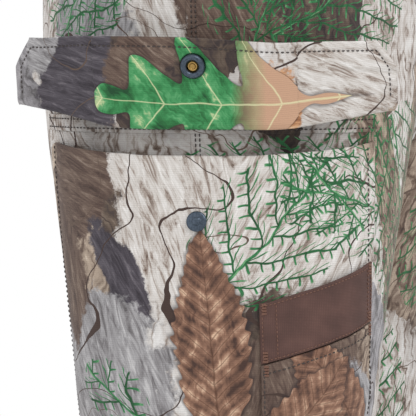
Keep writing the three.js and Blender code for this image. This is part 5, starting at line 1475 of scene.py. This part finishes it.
for name, side in SIDES.items():
    edges = ribbon_over(
        f"{name}_shoulder_strap", 0.0, 1.36, 0.16, math.pi + 0.85, 110
    )
    across = np.linspace(0, 1, 9)
    points = edges[:, :1] * (1 - across)[None, :, None] + edges[:, 1:] * across[None, :, None]
    way = np.gradient(points, axis=0)
    side_way = np.broadcast_to((edges[:, 1] - edges[:, 0])[:, None], points.shape)
    out = np.cross(way, side_way)
    out /= np.linalg.norm(out, axis=-1, keepdims=True)
    away = points - np.array([0, 0, 1.36]) * np.array([0, 1, 1])
    away[..., 0] = 0
    out = np.where((np.sum(out * away, axis=-1) < 0)[..., None], -out, out)
    crown = 0.12 * mm * np.sin(across * math.pi)[None, :]
    upper = points + out * crown[..., None]
    lower = points - out * 1.9 * mm
    loop = np.concatenate([upper, lower[:, ::-1]], axis=1)
    run = np.concatenate([[0], np.cumsum(np.linalg.norm(np.diff(points[:, 4], axis=0), axis=1))])
    wide = np.concatenate([across, across[::-1]]) * 0.038
    places = np.stack([run[:, None] + 0 * wide[None, :], wide[None, :] + 0 * run[:, None]], axis=-1)
    strap = grid_piece(
        f"{name}_shoulder_webbing", loop.transpose(1, 0, 2), places.transpose(1, 0, 2), STRAP_WEB, wrap=True
    )
    if strap.data.polygons[len(edges) * 3 + 10].normal @ Vector(out[10, 3]) < 0:
        strap.data.flip_normals()
    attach(strap, "waders")
    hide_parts(f"{name}_shoulder_strap")
yoke = sewn_patch(
    "back_yoke_cloth", body, "back_yoke", BROWN_POLYESTER, 50, 50, 1.8 * mm
)
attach(stitches("back_yoke_stitches", [
    row_line(yoke, 2 * mm, tube=body), row_line(yoke, -2 * mm, tube=body), row_line(yoke, 7 * mm, tube=body),
], BROWN_THREAD), "waders")

# ---- Chest pocket --------------------------------------------------------------------------
# A flat pocket on the bib's front with a coil zip above it, its slider parked at the wearer's right.
chest = sewn_patch(
    "chest_pocket_cloth", body, "chest_pocket", CAMO_BODY, 110, 80, 2.2 * mm,
    relief=lambda s, z: 0.9 * mm * creases(s, z, 31, slope=1.0, lengths=(0.06, 0.14)),
)
lines = [
    row_line(chest, 3 * mm, tube=body), row_line(chest, -3 * mm, tube=body),
    row_line(chest, 9 * mm, tube=body)
]
for k in (3, -4):
    lines.append(seam_line(body, chest[0][:, k], chest[1][:, k], chest[2][:, k] + 0.1 * mm))
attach(stitches("chest_pocket_stitches", lines, DARK_THREAD), "waders")
ZIP_TAPE = webbing("zip_tape", "#1F1D1D", "#34302E")
tape = sewn_patch(
    "chest_zip_tape_cloth", body, "chest_zip_tape", ZIP_TAPE, 90, 14, 1.2 * mm
)


def plastic(name, hexcode, rough):
    """Injection-moulded acetal with a fine spark-eroded grain."""
    made, tree, shader = surface(name, {"Roughness": rough})
    where = node(tree, "TexCoord")
    grain = node(tree, "TexNoise", {0: where.outputs["Object"], "Scale": 1500, "Detail": 2})
    colour = node(tree, "ValToRGB", {0: grain.outputs[0]}, stops=[(0.3, hexcode), (0.7, hexcode)])
    tree.links.new(colour.outputs[0], shader.inputs["Base Color"])
    bump = node(tree, "Bump", {"Height": grain, "Strength": 0.25, "Distance": 0.1 * mm})
    tree.links.new(bump.outputs[0], shader.inputs["Normal"])
    return made


ACETAL = plastic("dark_acetal", "#2B2725", 0.42)
TEETH = plastic("coil_teeth", "#3B3633", 0.38)
lines = []
for shift in (-1.1 * mm, 1.1 * mm):
    girths, heights, offs = tape
    middle = (heights[0] + heights[-1]) / 2 + shift
    lines.append(seam_line(body, girths[0], middle, offs[len(offs) // 2] + 0.5 * mm))
coil = stitches("chest_zip_coil", lines, TEETH, pitch=1.5 * mm, radius=0.75 * mm, gap=0.35 * mm)
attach(coil, "waders")

# ---- Buckles, adjusters, zip slider and ring ------------------------------------------------
# Moulded buckles and adjusters and the plated slider and ring keep their engineered shape, with
# their edges rounded as the real ones are.
def finished(cad, material, round_edge=0.5 * mm, subdivide=0):
    shown = nodes[cad]
    shown.data.materials.clear()
    shown.data.materials.append(material)
    if round_edge:
        bevel = shown.modifiers.new("round_edges", "BEVEL")
        bevel.width = round_edge
        bevel.segments = 3
        bevel.limit_method = "ANGLE"
        bevel.angle_limit = math.radians(35)
        bevel.harden_normals = True
    if subdivide:
        smooth = shown.modifiers.new("smooth", "SUBSURF")
        smooth.levels = smooth.render_levels = subdivide


for cad in ("belt_buckle_socket", "belt_buckle_plug", "right_buckle_socket",
            "left_buckle_socket", "right_buckle_plug",
            "left_buckle_plug", "right_strap_adjuster", "left_strap_adjuster"):
    finished(cad, ACETAL, 0.45 * mm)
finished("chest_zip_slider", GUNMETAL, 0.3 * mm)
finished("chest_zip_pull", plastic("pull_cord_brown", "#5A4640", 0.6), 0.4 * mm)
finished("accessory_ring", GUNMETAL, 0, subdivide=2)
TAB_WEB = plastic("tab_webbing", "#3E352F", 0.75)
for cad in ("right_buckle_tab", "left_buckle_tab", "ring_tab"):
    finished(cad, TAB_WEB, 0.3 * mm)

# ---- Boots ---------------------------------------------------------------------------------
# Vulcanised rubber boots, bonded to the legs under a rubber band, on lugged outsoles.
def rubber(name, dark, pale, rough):
    """Matt rubber with a moulded pebble grain, and patches of dust."""
    made, tree, shader = surface(name, {"Roughness": rough, "Specular IOR Level": 0.4})
    where = node(tree, "TexCoord")
    dust = node(tree, "TexNoise", {0: where.outputs["Object"], "Scale": 14, "Detail": 5})
    pebble = node(tree, "TexVoronoi", {"Vector": where.outputs["Object"], "Scale": 420})
    colour = node(tree, "ValToRGB", {0: dust.outputs[0]}, stops=[(0.3, dark), (0.75, pale)])
    tree.links.new(colour.outputs[0], shader.inputs["Base Color"])
    bump = node(tree, "Bump", {"Height": pebble, "Strength": 0.35, "Distance": 0.3 * mm})
    tree.links.new(bump.outputs[0], shader.inputs["Normal"])
    return made


BOOT_RUBBER = rubber("boot_rubber", "#38332C", "#4A443B", 0.55)
SOLE_RUBBER = rubber("sole_rubber", "#1F1D1B", "#2C2926", 0.7)
FOAM = rubber("insole_foam", "#3A3F45", "#4A5058", 0.9)


def recast(name, cad, material, voxel, smooth):
    """A finer, rounder skin over a CAD piece."""
    made = bpy.data.objects.new(name, nodes[cad].data.copy())
    bpy.context.scene.collection.objects.link(made)
    made.data.materials.clear()
    made.data.materials.append(material)
    skin = made.modifiers.new("skin", "REMESH")
    skin.mode = "VOXEL"
    skin.voxel_size = voxel * 1
    skin.use_smooth_shade = True
    relax = made.modifiers.new("relax", "SMOOTH")
    relax.iterations = smooth
    relax.factor = 0.5
    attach(made, "waders")
    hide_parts(cad)
    return made


for name, side in SIDES.items():
    leg = legs[name]
    recast(f"{name}_boot_rubber", f"{name}_boot_upper", BOOT_RUBBER, 2.2 * mm, smooth=12)
    recast(f"{name}_outsole_rubber", f"{name}_boot_outsole", SOLE_RUBBER, 1.6 * mm, smooth=2)
    insole = recast(f"{name}_insole_foam", f"{name}_boot_insole", FOAM, 2.0 * mm, smooth=2)
    low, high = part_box(f"{name}_boot_band")
    profile = np.array([
        [0, 0.2], [0.01, 1.8], [0.06, 2.4], [0.2, 2.4], [0.25, 3.0], [0.3, 3.0], [0.35, 2.4],
        [0.65, 2.4], [0.7, 3.0], [0.75, 3.0], [0.8, 2.4], [0.94, 2.4], [0.99, 1.8], [1, 0.2],
    ])
    turns = np.linspace(-math.pi, math.pi, 120 * FINE, endpoint=False)
    level = low.z + profile[:, :1] * (high.z - low.z) + 0 * turns[None, :]
    around = turns[None, :] + 0 * level
    held = np.maximum(level, leg.low)
    points = leg.bare(around, held) + leg.normal(around, held) * (profile[:, 1:] * mm)[..., None]
    points[..., 2] = level
    points = points.transpose(1, 0, 2)
    places = np.stack([around * 0.09, level], axis=-1).transpose(1, 0, 2)
    band = grid_piece(f"{name}_bonding_band", points, places, BOOT_RUBBER, wrap=True)
    if band.data.polygons[6].normal @ Vector(leg.normal(around[0], held[0])[0]) < 0:
        band.data.flip_normals()
    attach(band, "waders")
    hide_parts(f"{name}_boot_band")
